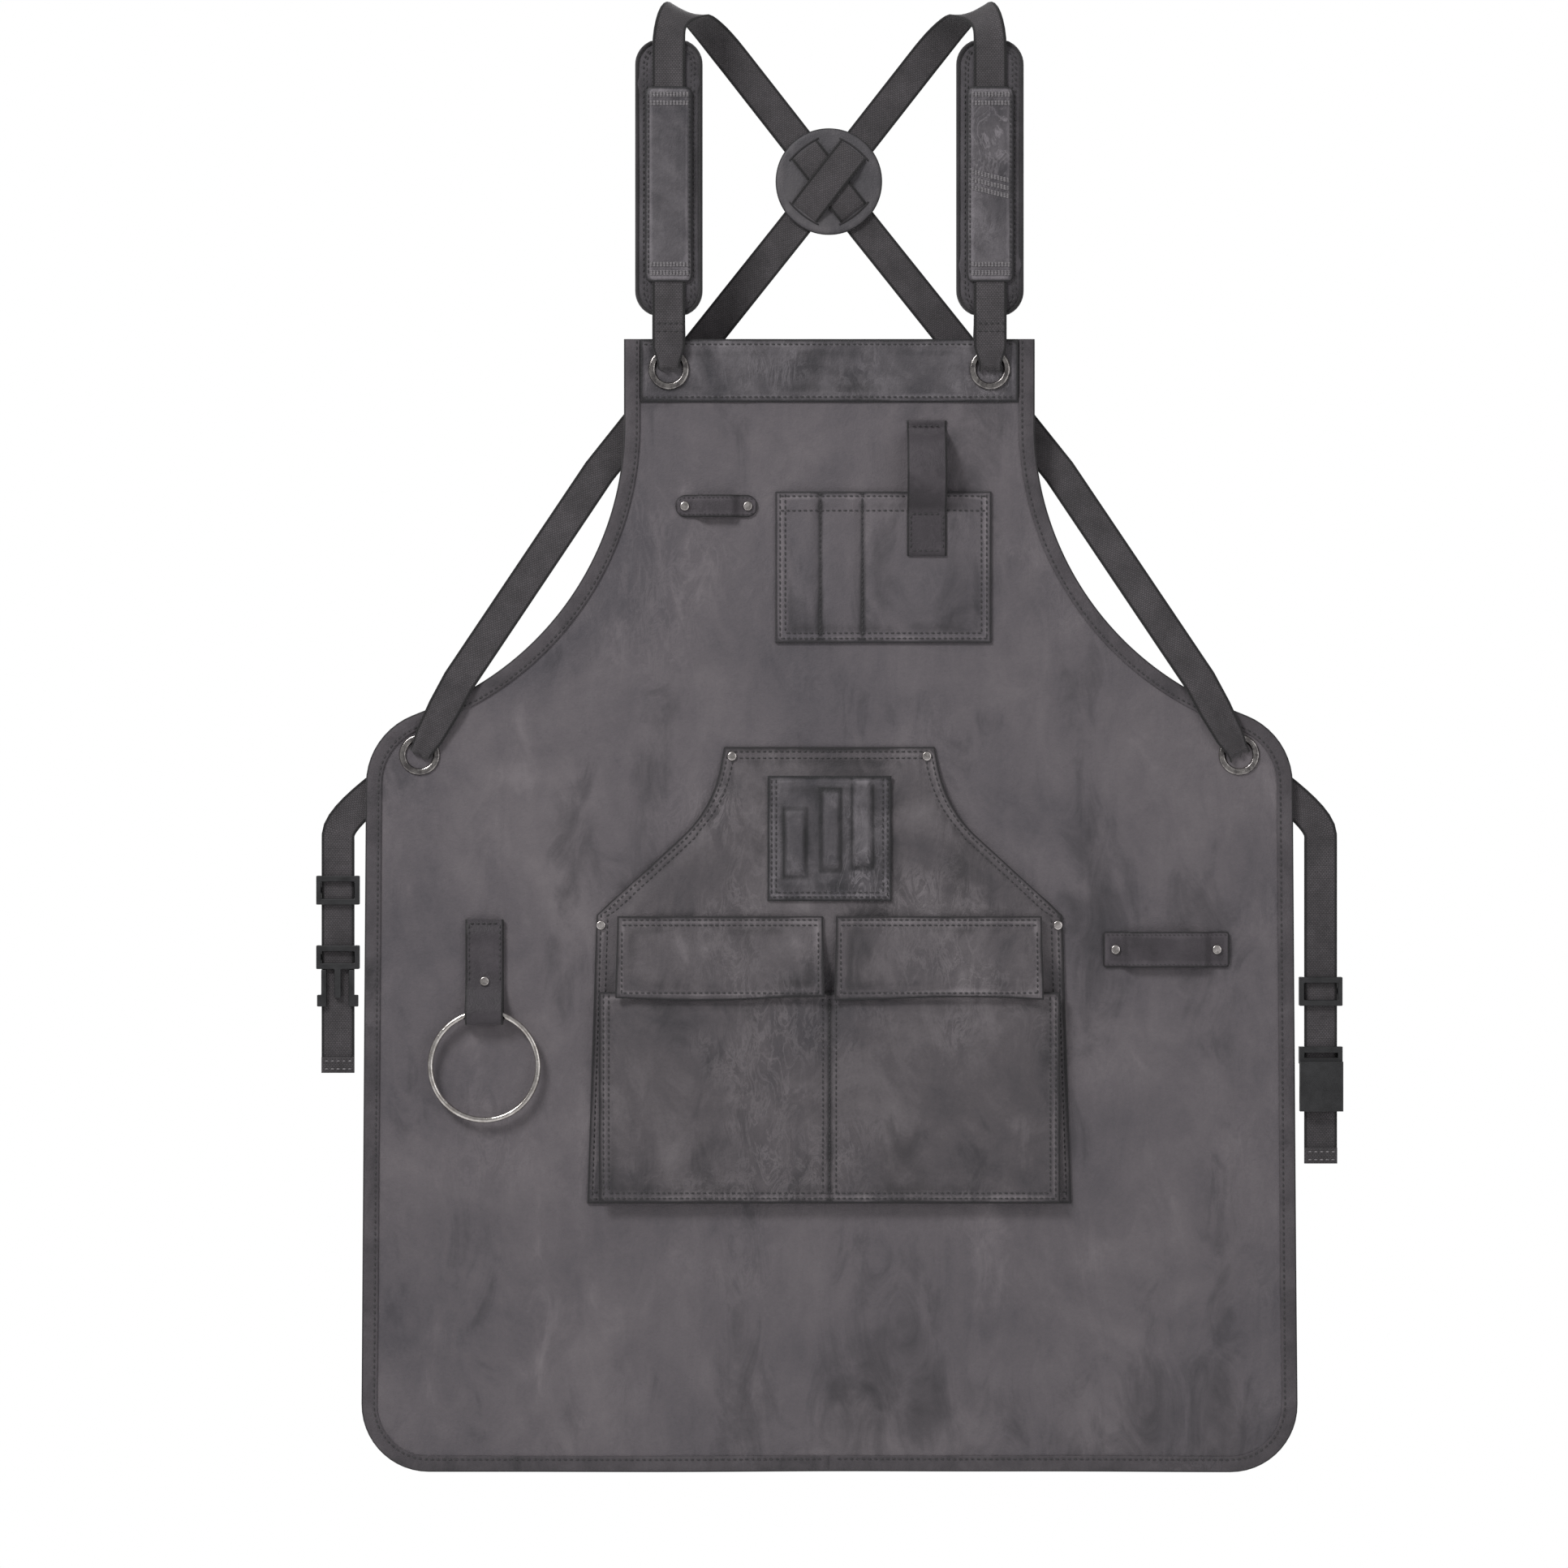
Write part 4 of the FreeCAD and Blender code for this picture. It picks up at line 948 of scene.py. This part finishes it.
def hammer_loop():
    low, high, x, half = spans("hammer_loop")
    half_hide = 0.001
    start = PANEL_FACE - half_hide
    landing = chest_lift(x, chest_high.z - 0.012) - half_hide
    crest = low.y + half_hide
    bends = [(start, 0), (start, 0.008), (start - 0.010, 0.016), (crest + 0.001, 0.036),
             (crest + 0.003, 0.048), (landing - 0.007, 0.060), (landing - 0.0004, 0.068),
             (landing, 0.078), (landing, high.z - low.z)]
    route = smooth_route([vec(x, y, high.z - drop) for y, drop in bends], 6)
    leather_strip("hammer_loop", route, high.x - low.x)
    for level, face in ((high.z - 0.004, start), (high.z - 0.071, landing),
                        (low.z + 0.004, landing)):
        seam(x - half + 0.003, level, x + half - 0.003, level, face - half_hide, 10)
    for side in (-1, 1):
        edge = x + side * (half - 0.0028)
        seam(edge, high.z - 0.071, edge, low.z + 0.004, landing - half_hide, 10)


hammer_loop()


def ring_tab():
    """A strip doubled over the ring's wire, riveted, with both layers sewn above."""
    low, high, x, half = spans("ring_tab")
    wire_low, wire_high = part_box("towel_ring")
    eye_y = (wire_low.y + wire_high.y) / 2
    eye_z = low.z + 0.0073
    back, front = PANEL_FACE - 0.001, PANEL_FACE - 0.0031
    turn = [(eye_y + 0.0062 * math.cos(a), eye_z - 0.0062 * math.sin(a))
            for a in (math.pi * k / 10 for k in range(11))]
    bends = [(back, high.z - 0.001 - 0.012 * k) for k in range(5)] + [(back, eye_z + 0.004)]
    bends += turn + [(eye_y - 0.0056, eye_z + 0.006), (front - 0.003, eye_z + 0.014),
                     (front, eye_z + 0.022), (front, eye_z + 0.04), (front, high.z - 0.014),
                     (front, high.z)]
    route = [vec(x, y, z) for y, z in bends]
    leather_strip("ring_tab", route, high.x - low.x)
    half -= 0.0028
    for side in (-1, 1):
        seam(x + side * half, high.z - 0.003, x + side * half, eye_z + 0.026, front - 0.001, 20)
    seam(x - half, high.z - 0.003, x + half, high.z - 0.003, front - 0.001, 8)


ring_tab()


# ---- straps

SHOULDER_X, SHOULDER_FRONT, REAR = 0.122, -0.053, -0.0405
WEB_WIDTH, WEB_THICK, GATHERED = 0.025, 0.0017, 0.017
BEND, BIB_EYE, CROSS = 0.0045, -0.148, math.radians(38)
HIP_EYE = vec(0.3115, 0, -0.441)
HIP_CROSS = vec(0.2815, -0.0505, -0.385)
TAIL_X, TAIL_TOP = 0.374, -0.507
SLOT_REACH = 0.0305
TWIST = math.radians(42)


def quarter(centre, first, second):
    """A quarter turn of the webbing round an edge, from one direction to another."""
    angles = (math.pi / 2 * k / 6 for k in range(7))
    return [centre + first * (BEND * math.cos(a)) + second * (BEND * math.sin(a))
            for a in angles]


def hermite(start, start_pull, end, end_pull, t):
    """A point on a curve with the given ends and end directions."""
    return (start * (2 * t ** 3 - 3 * t * t + 1) + start_pull * (t ** 3 - 2 * t * t + t)
            + end * (3 * t * t - 2 * t ** 3) + end_pull * (t ** 3 - t * t))


ARC_PULL, ARC_START, ARC_END = 0.148, 0.095, 0.115
ARMHOLE_REACH, ARMHOLE_DEPTH = 0.225, 0.030


def strap_route(depth, tail_end):
    """The whole webbing strap for the hip on +X, as (point, across, width) stations."""
    x, level = -SHOULDER_X, BIB_EYE
    sewn, clear = SHOULDER_FRONT + 0.0021, BIB_TOP + 0.0021
    route = []

    def add(points, across, first, last=None):
        for number, point in enumerate(points):
            share = number / max(len(points) - 1, 1)
            wide = first if last is None else first + (last - first) * share
            route.append((point, across, wide))

    add([vec(x, sewn, -0.110), vec(x, sewn, clear + 0.009)], RIGHT, WEB_WIDTH)
    add([vec(x, REAR, clear + 0.001), vec(x, REAR, (clear + level) / 2)], RIGHT,
        WEB_WIDTH)
    add(quarter(vec(x, REAR - BEND, level + BEND), -FRONT, -UP), RIGHT, GATHERED)
    add(quarter(vec(x, SHOULDER_FRONT + BEND, level + BEND), -UP, FRONT), RIGHT, GATHERED)
    add([vec(x, SHOULDER_FRONT, clear - 2 * BEND), vec(x, SHOULDER_FRONT, BIB_TOP),
         vec(x, SHOULDER_FRONT, -0.108)], RIGHT, WEB_WIDTH)
    add([vec(x, SHOULDER_FRONT, z) for z in (-0.07, -0.03, 0.01, 0.05, 0.08)], RIGHT,
        WEB_WIDTH)
    down = vec(math.sin(CROSS), 0, -math.cos(CROSS))
    slant = vec(math.cos(CROSS), 0, math.sin(CROSS))
    behind = 0.0033
    start = vec(x, SHOULDER_FRONT, ARC_START)
    finish = down * -ARC_END + vec(0, behind, 0)

    def arc(t):
        return hermite(start, UP * ARC_PULL, finish, down * ARC_PULL, min(max(t, 0), 1))

    for step in range(21):
        t = step / 20
        turn = TWIST * math.sin(math.pi * min(t / 0.62, 1.0))
        facing = vec(math.sin(turn), -math.cos(math.pi * t), math.sin(math.pi * t))
        route.append((arc(t), (arc(t + 0.01) - arc(t - 0.01)).cross(facing), WEB_WIDTH))
    inner, outer = SLOT_REACH - 0.0015, SLOT_REACH + 0.0025
    arch = depth if depth < -0.004 else depth - 0.0004
    sides = [(outer + 0.013, behind), (outer + 0.0015, behind), (outer, behind * 0.6),
             (inner + 0.0010, -0.0012), (inner, -0.0026), (inner - 0.0035, -0.0030),
             (0.016, arch), (0.006, arch)]
    for reach, y in [(-a, b) for a, b in sides] + list(reversed(sides)):
        add([down * reach + vec(0, y, 0)], slant, WEB_WIDTH)
    armhole = down * (ARMHOLE_REACH / math.cos(CROSS)) + vec(0, -ARMHOLE_DEPTH, 0)
    leave = down * (outer + 0.013) + vec(0, behind, 0)
    add([leave + (armhole - leave) * (step / 8) for step in range(1, 9)], slant, WEB_WIDTH)
    heading = (HIP_EYE - vec(HIP_CROSS.x, 0, HIP_CROSS.z)).normalized()
    across = vec(-heading.z, 0, heading.x)
    add([armhole + (HIP_CROSS - armhole) * (step / 5) for step in range(1, 6)], across, WEB_WIDTH)
    entry = HIP_EYE - heading * BEND + vec(0, HIP_CROSS.y + BEND, 0)
    near = HIP_EYE - heading * (3.5 * BEND) + vec(0, HIP_CROSS.y, 0)
    add([(HIP_CROSS + near) / 2, near], across, WEB_WIDTH, 0.022)
    add(quarter(entry, FRONT, heading), across, GATHERED)
    leaving = vec(math.sin(math.radians(46)), 0, -math.cos(math.radians(46)))
    across = vec(-leaving.z, 0, leaving.x)
    exit_centre = HIP_EYE + leaving * BEND + vec(0, REAR - BEND, 0)
    add(quarter(exit_centre, -leaving, -FRONT), across, GATHERED)
    begin = exit_centre + vec(0, BEND, 0)
    end = vec(TAIL_X, REAR, TAIL_TOP)
    stop = end + UP * BEND
    for step in range(1, 13):
        t = step / 12
        point = hermite(begin, leaving * 0.050, stop, UP * -0.050, t)
        blend = leaving * (1 - t) - UP * t
        add([point], vec(-blend.z, 0, blend.x), WEB_WIDTH if step > 1 else 0.021)
    count = max(int((TAIL_TOP - tail_end) / 0.006), 4)
    add([vec(TAIL_X, REAR, TAIL_TOP + (tail_end - TAIL_TOP) * k / count)
         for k in range(count + 1)], RIGHT, WEB_WIDTH)
    return route


def webbing_strap(name, side, depth, tail_end, stands_for):
    route = strap_route(depth, tail_end)
    if side < 0:
        route = [(vec(-p.x, p.y, p.z), vec(-a.x, a.y, a.z), w) for p, a, w in route]
    points, acrosses, widths = zip(*route)
    path = stations(list(points), list(acrosses))
    half = WEB_THICK / 2
    front = [(-0.5, -0.5), (-0.48, -1), (-0.44, -1), (-0.4, -1), (-0.2, -1), (0, -1),
             (0.2, -1), (0.4, -1), (0.44, -1), (0.48, -1), (0.5, -0.5)]
    profile = mirrored([(a, b * half) for a, b in front])
    lengths, outline = running(points), profile + profile[:1]

    def place(u, v):
        index, number = round(u * (len(path) - 1)), round(v * (len(outline) - 1))
        point, across, out = path[index]
        a, b = outline[number]
        pleat = 0.0012 * math.cos(a * 13) if widths[index] < WEB_WIDTH * 0.9 else 0.0
        flat_a = (a + 0.5) * WEB_WIDTH + (0.5 if number > 10 else 0.0)
        return point + across * (a * widths[index]) + out * (b + pleat), (flat_a, lengths[index])

    bm = mapped_grid(len(path) - 1, len(outline) - 1, place)
    layer = bm.loops.layers.uv["cut"]
    edge = bm.verts.layers.float.new("selvedge")
    for face in bm.faces:
        for loop in face.loops:
            reach = abs((loop[layer].uv.x % 0.5) / WEB_WIDTH - 0.5)
            loop.vert[edge] = 1.0 if reach > 0.42 else 0.0
    close_up(bm)
    obj = piece(bm, name, WEBBING, None, stands_for)
    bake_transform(obj)


webbing_strap("strap_webbing_left", 1, -0.0028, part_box("tail_right")[0].z,
              ["strap_left", "tail_right"])
webbing_strap("strap_webbing_right", -1, -0.0050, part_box("tail_left")[0].z,
              ["strap_right", "tail_left"])

for name, side in (("left", -1), ("right", 1)):
    low, high, middle, _ = spans(f"tail_hem_{name}")
    route = [vec(middle, (low.y + high.y) / 2, low.z + (high.z - low.z) * k / 6)
             for k in range(7)]
    bm = swept(stations(route, [RIGHT] * 7), flat_profile(WEB_WIDTH, 0.0017))
    piece(bm, f"tail_fold_{name}", WEBBING, f"tail_{name}", [f"tail_hem_{name}"])
    for level in (0.003, 0.009):
        seam(low.x + 0.002, low.z + level, high.x - 0.002, low.z + level, low.y, 8,
             body=f"tail_{name}", material=PALE_THREAD)
    x = side * SHOULDER_X
    for level in (-0.1135, -0.1195):
        seam(x - 0.010, level, x + 0.010, level, SHOULDER_FRONT - 0.0009, 6)


# ---- back disc

def back_disc():
    """A thick leather disc with a rolled rim; the straps pass tightly through it."""
    low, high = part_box("cross_disc")
    radius = high.x
    half = (high.y - low.y) / 2
    middle_y = (high.y + low.y) / 2
    rings = [0.0, 0.012, 0.020, 0.028, 0.033, 0.0365, 0.0385, radius - 0.0012, radius]
    heights = [half] * 6 + [half * 1.12, half * 0.85, half * 0.2]
    rings += list(reversed(rings))
    heights += [-height for height in reversed(heights)]
    around = 96

    def place(u, v):
        angle = 2 * math.pi * round(u * around) / around
        number = round(v * (len(rings) - 1))
        reach = max(rings[number], 0.00001)
        return vec(reach * math.sin(angle), middle_y - heights[number],
                       reach * math.cos(angle)), (reach, angle)

    bm = mapped_grid(around, len(rings) - 1, place)
    bmesh.ops.remove_doubles(bm, verts=bm.verts, dist=4e-5)
    # Paler along the rolled rim's crest as a painted highlight; black on the cut edge beyond it.
    tone_points(bm, lambda x, z: 0.2 * bell(math.hypot(x, z) - 0.0375, 0.0016)
                - 0.8 * smooth((math.hypot(x, z) - 0.0398) / 0.001))
    piece(bm, "back_disc", DISC_HIDE, "apron", ["cross_disc"])
    for tilt in (CROSS, -CROSS, math.pi + CROSS, math.pi - CROSS):
        down = vec(math.sin(tilt), 0, -math.cos(tilt))
        cross = vec(math.cos(tilt), 0, math.sin(tilt))
        lip = []
        for step in range(13):
            share = step / 6 - 1
            reach = down * (SLOT_REACH + 0.0022 - 0.0016 * share * share) + cross * (share * 0.0142)
            lip.append(reach + vec(0, low.y - 0.0001, 0))
        bead = round_section(0.0007, 0.0006, 8)
        piece(swept(stations(lip, [down] * len(lip)), bead), f"slot_lip_{round(tilt * 100) % 629}",
              CUT_EDGE, "apron")


back_disc()


# ---- shoulder pads

def evaluated_mesh(obj):
    view = bpy.context.evaluated_depsgraph_get()
    return bpy.data.meshes.new_from_object(obj.evaluated_get(view))


REMESH, CLOTH_MOVE, SIDEWAYS = 0.004, 0.004, 0.15


def stuffed(obj, low, high, half_at):
    """Blow the cover up like stuffed cloth, hold its outline, and keep the result."""
    remesh = obj.modifiers.new("even_cloth", "REMESH")
    remesh.mode = "VOXEL"
    remesh.voxel_size = REMESH
    even = evaluated_mesh(obj)
    obj.modifiers.clear()
    obj.data = even
    rest = [vert.co.copy() for vert in even.vertices]
    cloth = obj.modifiers.new("stuffing", "CLOTH")
    cloth.settings.quality = 5
    cloth.settings.use_pressure = True
    cloth.settings.uniform_pressure_force = 4.0
    cloth.settings.effector_weights.gravity = 0.0
    cloth.point_cache.frame_start = 1
    cloth.point_cache.frame_end = 20
    for number in range(1, 21):
        bpy.context.scene.frame_set(number)
    blown = evaluated_mesh(obj)
    obj.modifiers.clear()
    bpy.context.scene.frame_set(1)
    middle = (low.x + high.x) / 2
    bottom, top = min(co.z for co in rest), max(co.z for co in rest)
    widest = {}
    for co in rest:
        key = round(co.z / REMESH)
        widest[key] = max(widest.get(key, 0.0), abs(co.x - middle))
    for vert, start in zip(blown.vertices, rest):
        shift = vert.co - start
        if shift.length > CLOTH_MOVE:
            shift *= CLOTH_MOVE / shift.length
        point = start + vec(SIDEWAYS * shift.x, shift.y, SIDEWAYS * shift.z)
        below = math.floor(start.z / REMESH)
        share = start.z / REMESH - below
        under = widest.get(below, widest.get(below + 1))
        wide = under + (widest.get(below + 1, under) - under) * share
        point.z = low.z + (point.z - bottom) / (top - bottom) * (high.z - low.z)
        point.x = middle + (point.x - middle) * min(max(half_at(point.z) / wide, 0.8), 1.4)
        vert.co = [min(max(value, least), most) for value, least, most in zip(point, low, high)]
    obj.data = blown
    for face in blown.polygons:
        face.use_smooth = True
    finer = obj.modifiers.new("finer", "SUBSURF")
    finer.levels = finer.render_levels = 1


PIPING_RADIUS = 0.0021


def shoulder_pad(name, side):
    """A stuffed cover with two sewn rows at its sides and piping round its outline."""
    low, high, middle, half = spans(f"shoulder_pad_{name}")
    half -= 0.0015
    bottom, top = low.z + 0.0015, high.z - 0.0015
    centre_y, thick = (low.y + high.y) / 2, (high.y - low.y) / 2
    girth, count = 28, 60
    spots = [0.5 - 0.5 * math.cos(math.pi * k / count) for k in range(count + 1)]
    heights = [bottom + (top - bottom) * (0.5 * k / count + 0.5 * spots[k])
               for k in range(count + 1)]

    def half_at(z):
        return rounded_half(z, bottom, top, half, 0.018)

    def place(u, v):
        z = heights[round(u * count)]
        wide = max(half_at(z), 0.001)
        angle = 2 * math.pi * round(v * girth) / girth
        ends = smooth(min(z - bottom, top - z) / 0.012 + 0.25)
        swell = thick * ends * (0.80 + 0.06 * math.sin(z * 60 + side))
        a = math.copysign(abs(math.cos(angle)) ** 0.55, math.cos(angle))
        b = math.copysign(abs(math.sin(angle)) ** 0.9, math.sin(angle))
        return vec(middle + a * wide, centre_y + b * swell, z), (a * wide, z)

    bm = mapped_grid(count, girth, place)
    close_up(bm)
    obj = piece(bm, f"shoulder_pad_body_{name}", PAD_CLOTH, "apron",
                [f"shoulder_pad_{name}"])
    inset = vec(0.0012, 0.0003, 0.0012)
    stuffed(obj, low + inset, high - inset, half_at)
    for offset in (0.0048, 0.0072):
        for direction in (1, -1):
            row = []
            for z in heights:
                wide = half_at(z)
                if min(z - bottom, top - z) > offset and wide > offset + 0.012:
                    row.append(vec(middle + direction * (wide - offset), low.y + 0.0006, z))
            stitches(row)
    rim = []
    for direction in (1, -1):
        rim += [vec(middle + direction * max(half_at(z), 0.001), centre_y, z)
                for z in heights[::direction]]
    rim.append(rim[0].copy())
    kept = [rim[0]]
    for point in rim[1:]:
        if (point - kept[-1]).length > 0.0012:
            kept.append(point)
    tube = round_section(PIPING_RADIUS * 0.8, PIPING_RADIUS * 1.7, 10)
    piece(swept(front_stations(kept, True, -1), tube), f"pad_piping_{name}", PIPING, "apron")


def pad_overlay(name):
    """The leather cover over the strap, with paired pale bars of stitching."""
    low, high, middle, half = spans(f"pad_overlay_{name}")

    def half_at(z):
        return rounded_half(z, low.z, high.z, half, 0.005)

    def lift(x, z):
        drop = smooth((abs(x - middle) - 0.0118) / 0.0062)
        end = smooth(min(z - low.z, high.z - z) / 0.004)
        wrinkle = speckle(x * 70, 3.0, z * 45) * 0.0004
        return low.y + 0.0016 * drop + 0.0006 * (1 - end) + wrinkle

    rows = [high.z, high.z - 0.0004] + levels(high.z - 0.0012, low.z + 0.0012, 0.002)
    rows += [low.z + 0.0004, low.z]
    patch(f"pad_cover_{name}", half_at, rows, middle, lift, BAND_HIDE,
          [f"pad_overlay_{name}"], 0.002, 0.0009)
    inset = 0.0026
    for side in (-1, 1):
        row = []
        for z in rows:
            if low.z + inset < z < high.z - inset:
                x = middle + side * (half_at(z) - inset)
                row.append(vec(x, lift(x, z), z))
        stitches(row, pitch=0.0038)
    bars = [(high.z - 0.006, 0.0), (high.z - 0.0125, 0.0), (low.z + 0.0065, 0.0),
            (low.z + 0.013, 0.0)]
    if name == "right":
        bars += [(high.z - drop, -0.0035) for drop in (0.068, 0.074, 0.080)]
    for level, lean in bars:
        for row in (-0.0013, -0.0004, 0.0005, 0.0014):
            seam(middle - half + 0.0035, level + row - lean, middle + half - 0.0035,
                 level + row + lean, lift, 12, material=PALE_THREAD, pitch=0.0025, length=0.0028,
                 width=0.0010)


for name, side in (("left", -1), ("right", 1)):
    shoulder_pad(name, side)
    pad_overlay(name)


# ---- carried hardware

def dress(material, *nodes):
    for node in nodes:
        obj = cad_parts[node]
        obj.data.materials.clear()
        obj.data.materials.append(material)


dress(STEEL, "towel_ring")
dress(NICKEL, "bib_eyelets", "hip_eyelets", "bib_eyelet_washers", "hip_eyelet_washers")
dress(RIVET, "tool_pocket_rivets", "chest_tab_rivets", "hip_tab_rivets", "ring_tab_rivet")
dress(PLASTIC, "tri_glide_left", "tri_glide_right", "buckle_plug", "buckle_prong_left",
      "buckle_prong_right", "buckle_socket")
for (body, kind), (bm, material) in stitch_bags.items():
    piece(bm, f"stitching_{body}_{kind}", material, body, recalc=False)


# ---- floor, light and camera

FLOOR_DROP = 0.58

bm = bmesh.new()
bmesh.ops.create_grid(bm, x_segments=2, y_segments=2, size=3.0)
bmesh.ops.translate(bm, verts=bm.verts, vec=(0, 0, HEM - FLOOR_DROP))
mesh = bpy.data.meshes.new("floor")
bm.to_mesh(mesh)
bm.free()
floor = bpy.data.objects.new("floor", mesh)
bpy.context.scene.collection.objects.link(floor)
mesh.materials.append(matt_floor())

world = bpy.data.worlds.new("studio")
bpy.context.scene.world = world
world.use_nodes = True
sky, sky_links = world.node_tree.nodes, world.node_tree.links
sky["Background"].inputs["Color"].default_value = (1.0, 1.0, 1.0, 1)
seen = sky.new("ShaderNodeLightPath")
strength = sky.new("ShaderNodeMapRange")
strength.inputs["To Min"].default_value = 0.42
strength.inputs["To Max"].default_value = 1.0
sky_links.new(seen.outputs["Is Camera Ray"], strength.inputs["Value"])
sky_links.new(strength.outputs["Result"], sky["Background"].inputs["Strength"])


def soft_light(name, place, aim, power, size):
    data = bpy.data.lights.new(name, "AREA")
    data.energy = power
    data.shape = "RECTANGLE"
    data.size, data.size_y = size
    obj = bpy.data.objects.new(name, data)
    obj.location = place
    obj.rotation_mode = "QUATERNION"
    obj.rotation_quaternion = (Vector(aim) - Vector(place)).to_track_quat("-Z", "Y")
    bpy.context.scene.collection.objects.link(obj)


soft_light("key", (-1.7, -2.0, 1.7), (0, 0, -0.45), 78, (0.9, 0.9))
soft_light("fill", (1.9, -2.3, -0.2), (0, 0, -0.5), 14, (1.6, 1.6))
soft_light("rear", (0.5, 2.4, 1.2), (0, 0, -0.4), 46, (1.6, 1.2))

camera_data = bpy.data.cameras.new("camera")
camera_data.lens = 122.0
camera_data.sensor_width = 36.0
camera_data.clip_end = 50
camera = bpy.data.objects.new("camera", camera_data)
VIEW_CENTRE = vec(-0.0345, PANEL_FACE, -0.4632)
camera.location = VIEW_CENTRE + vec(0, -4.04, 0)
camera.rotation_euler = (math.pi / 2, 0, 0)
bpy.context.scene.collection.objects.link(camera)
bpy.context.scene.camera = camera
bpy.context.scene.view_settings.view_transform = "Standard"
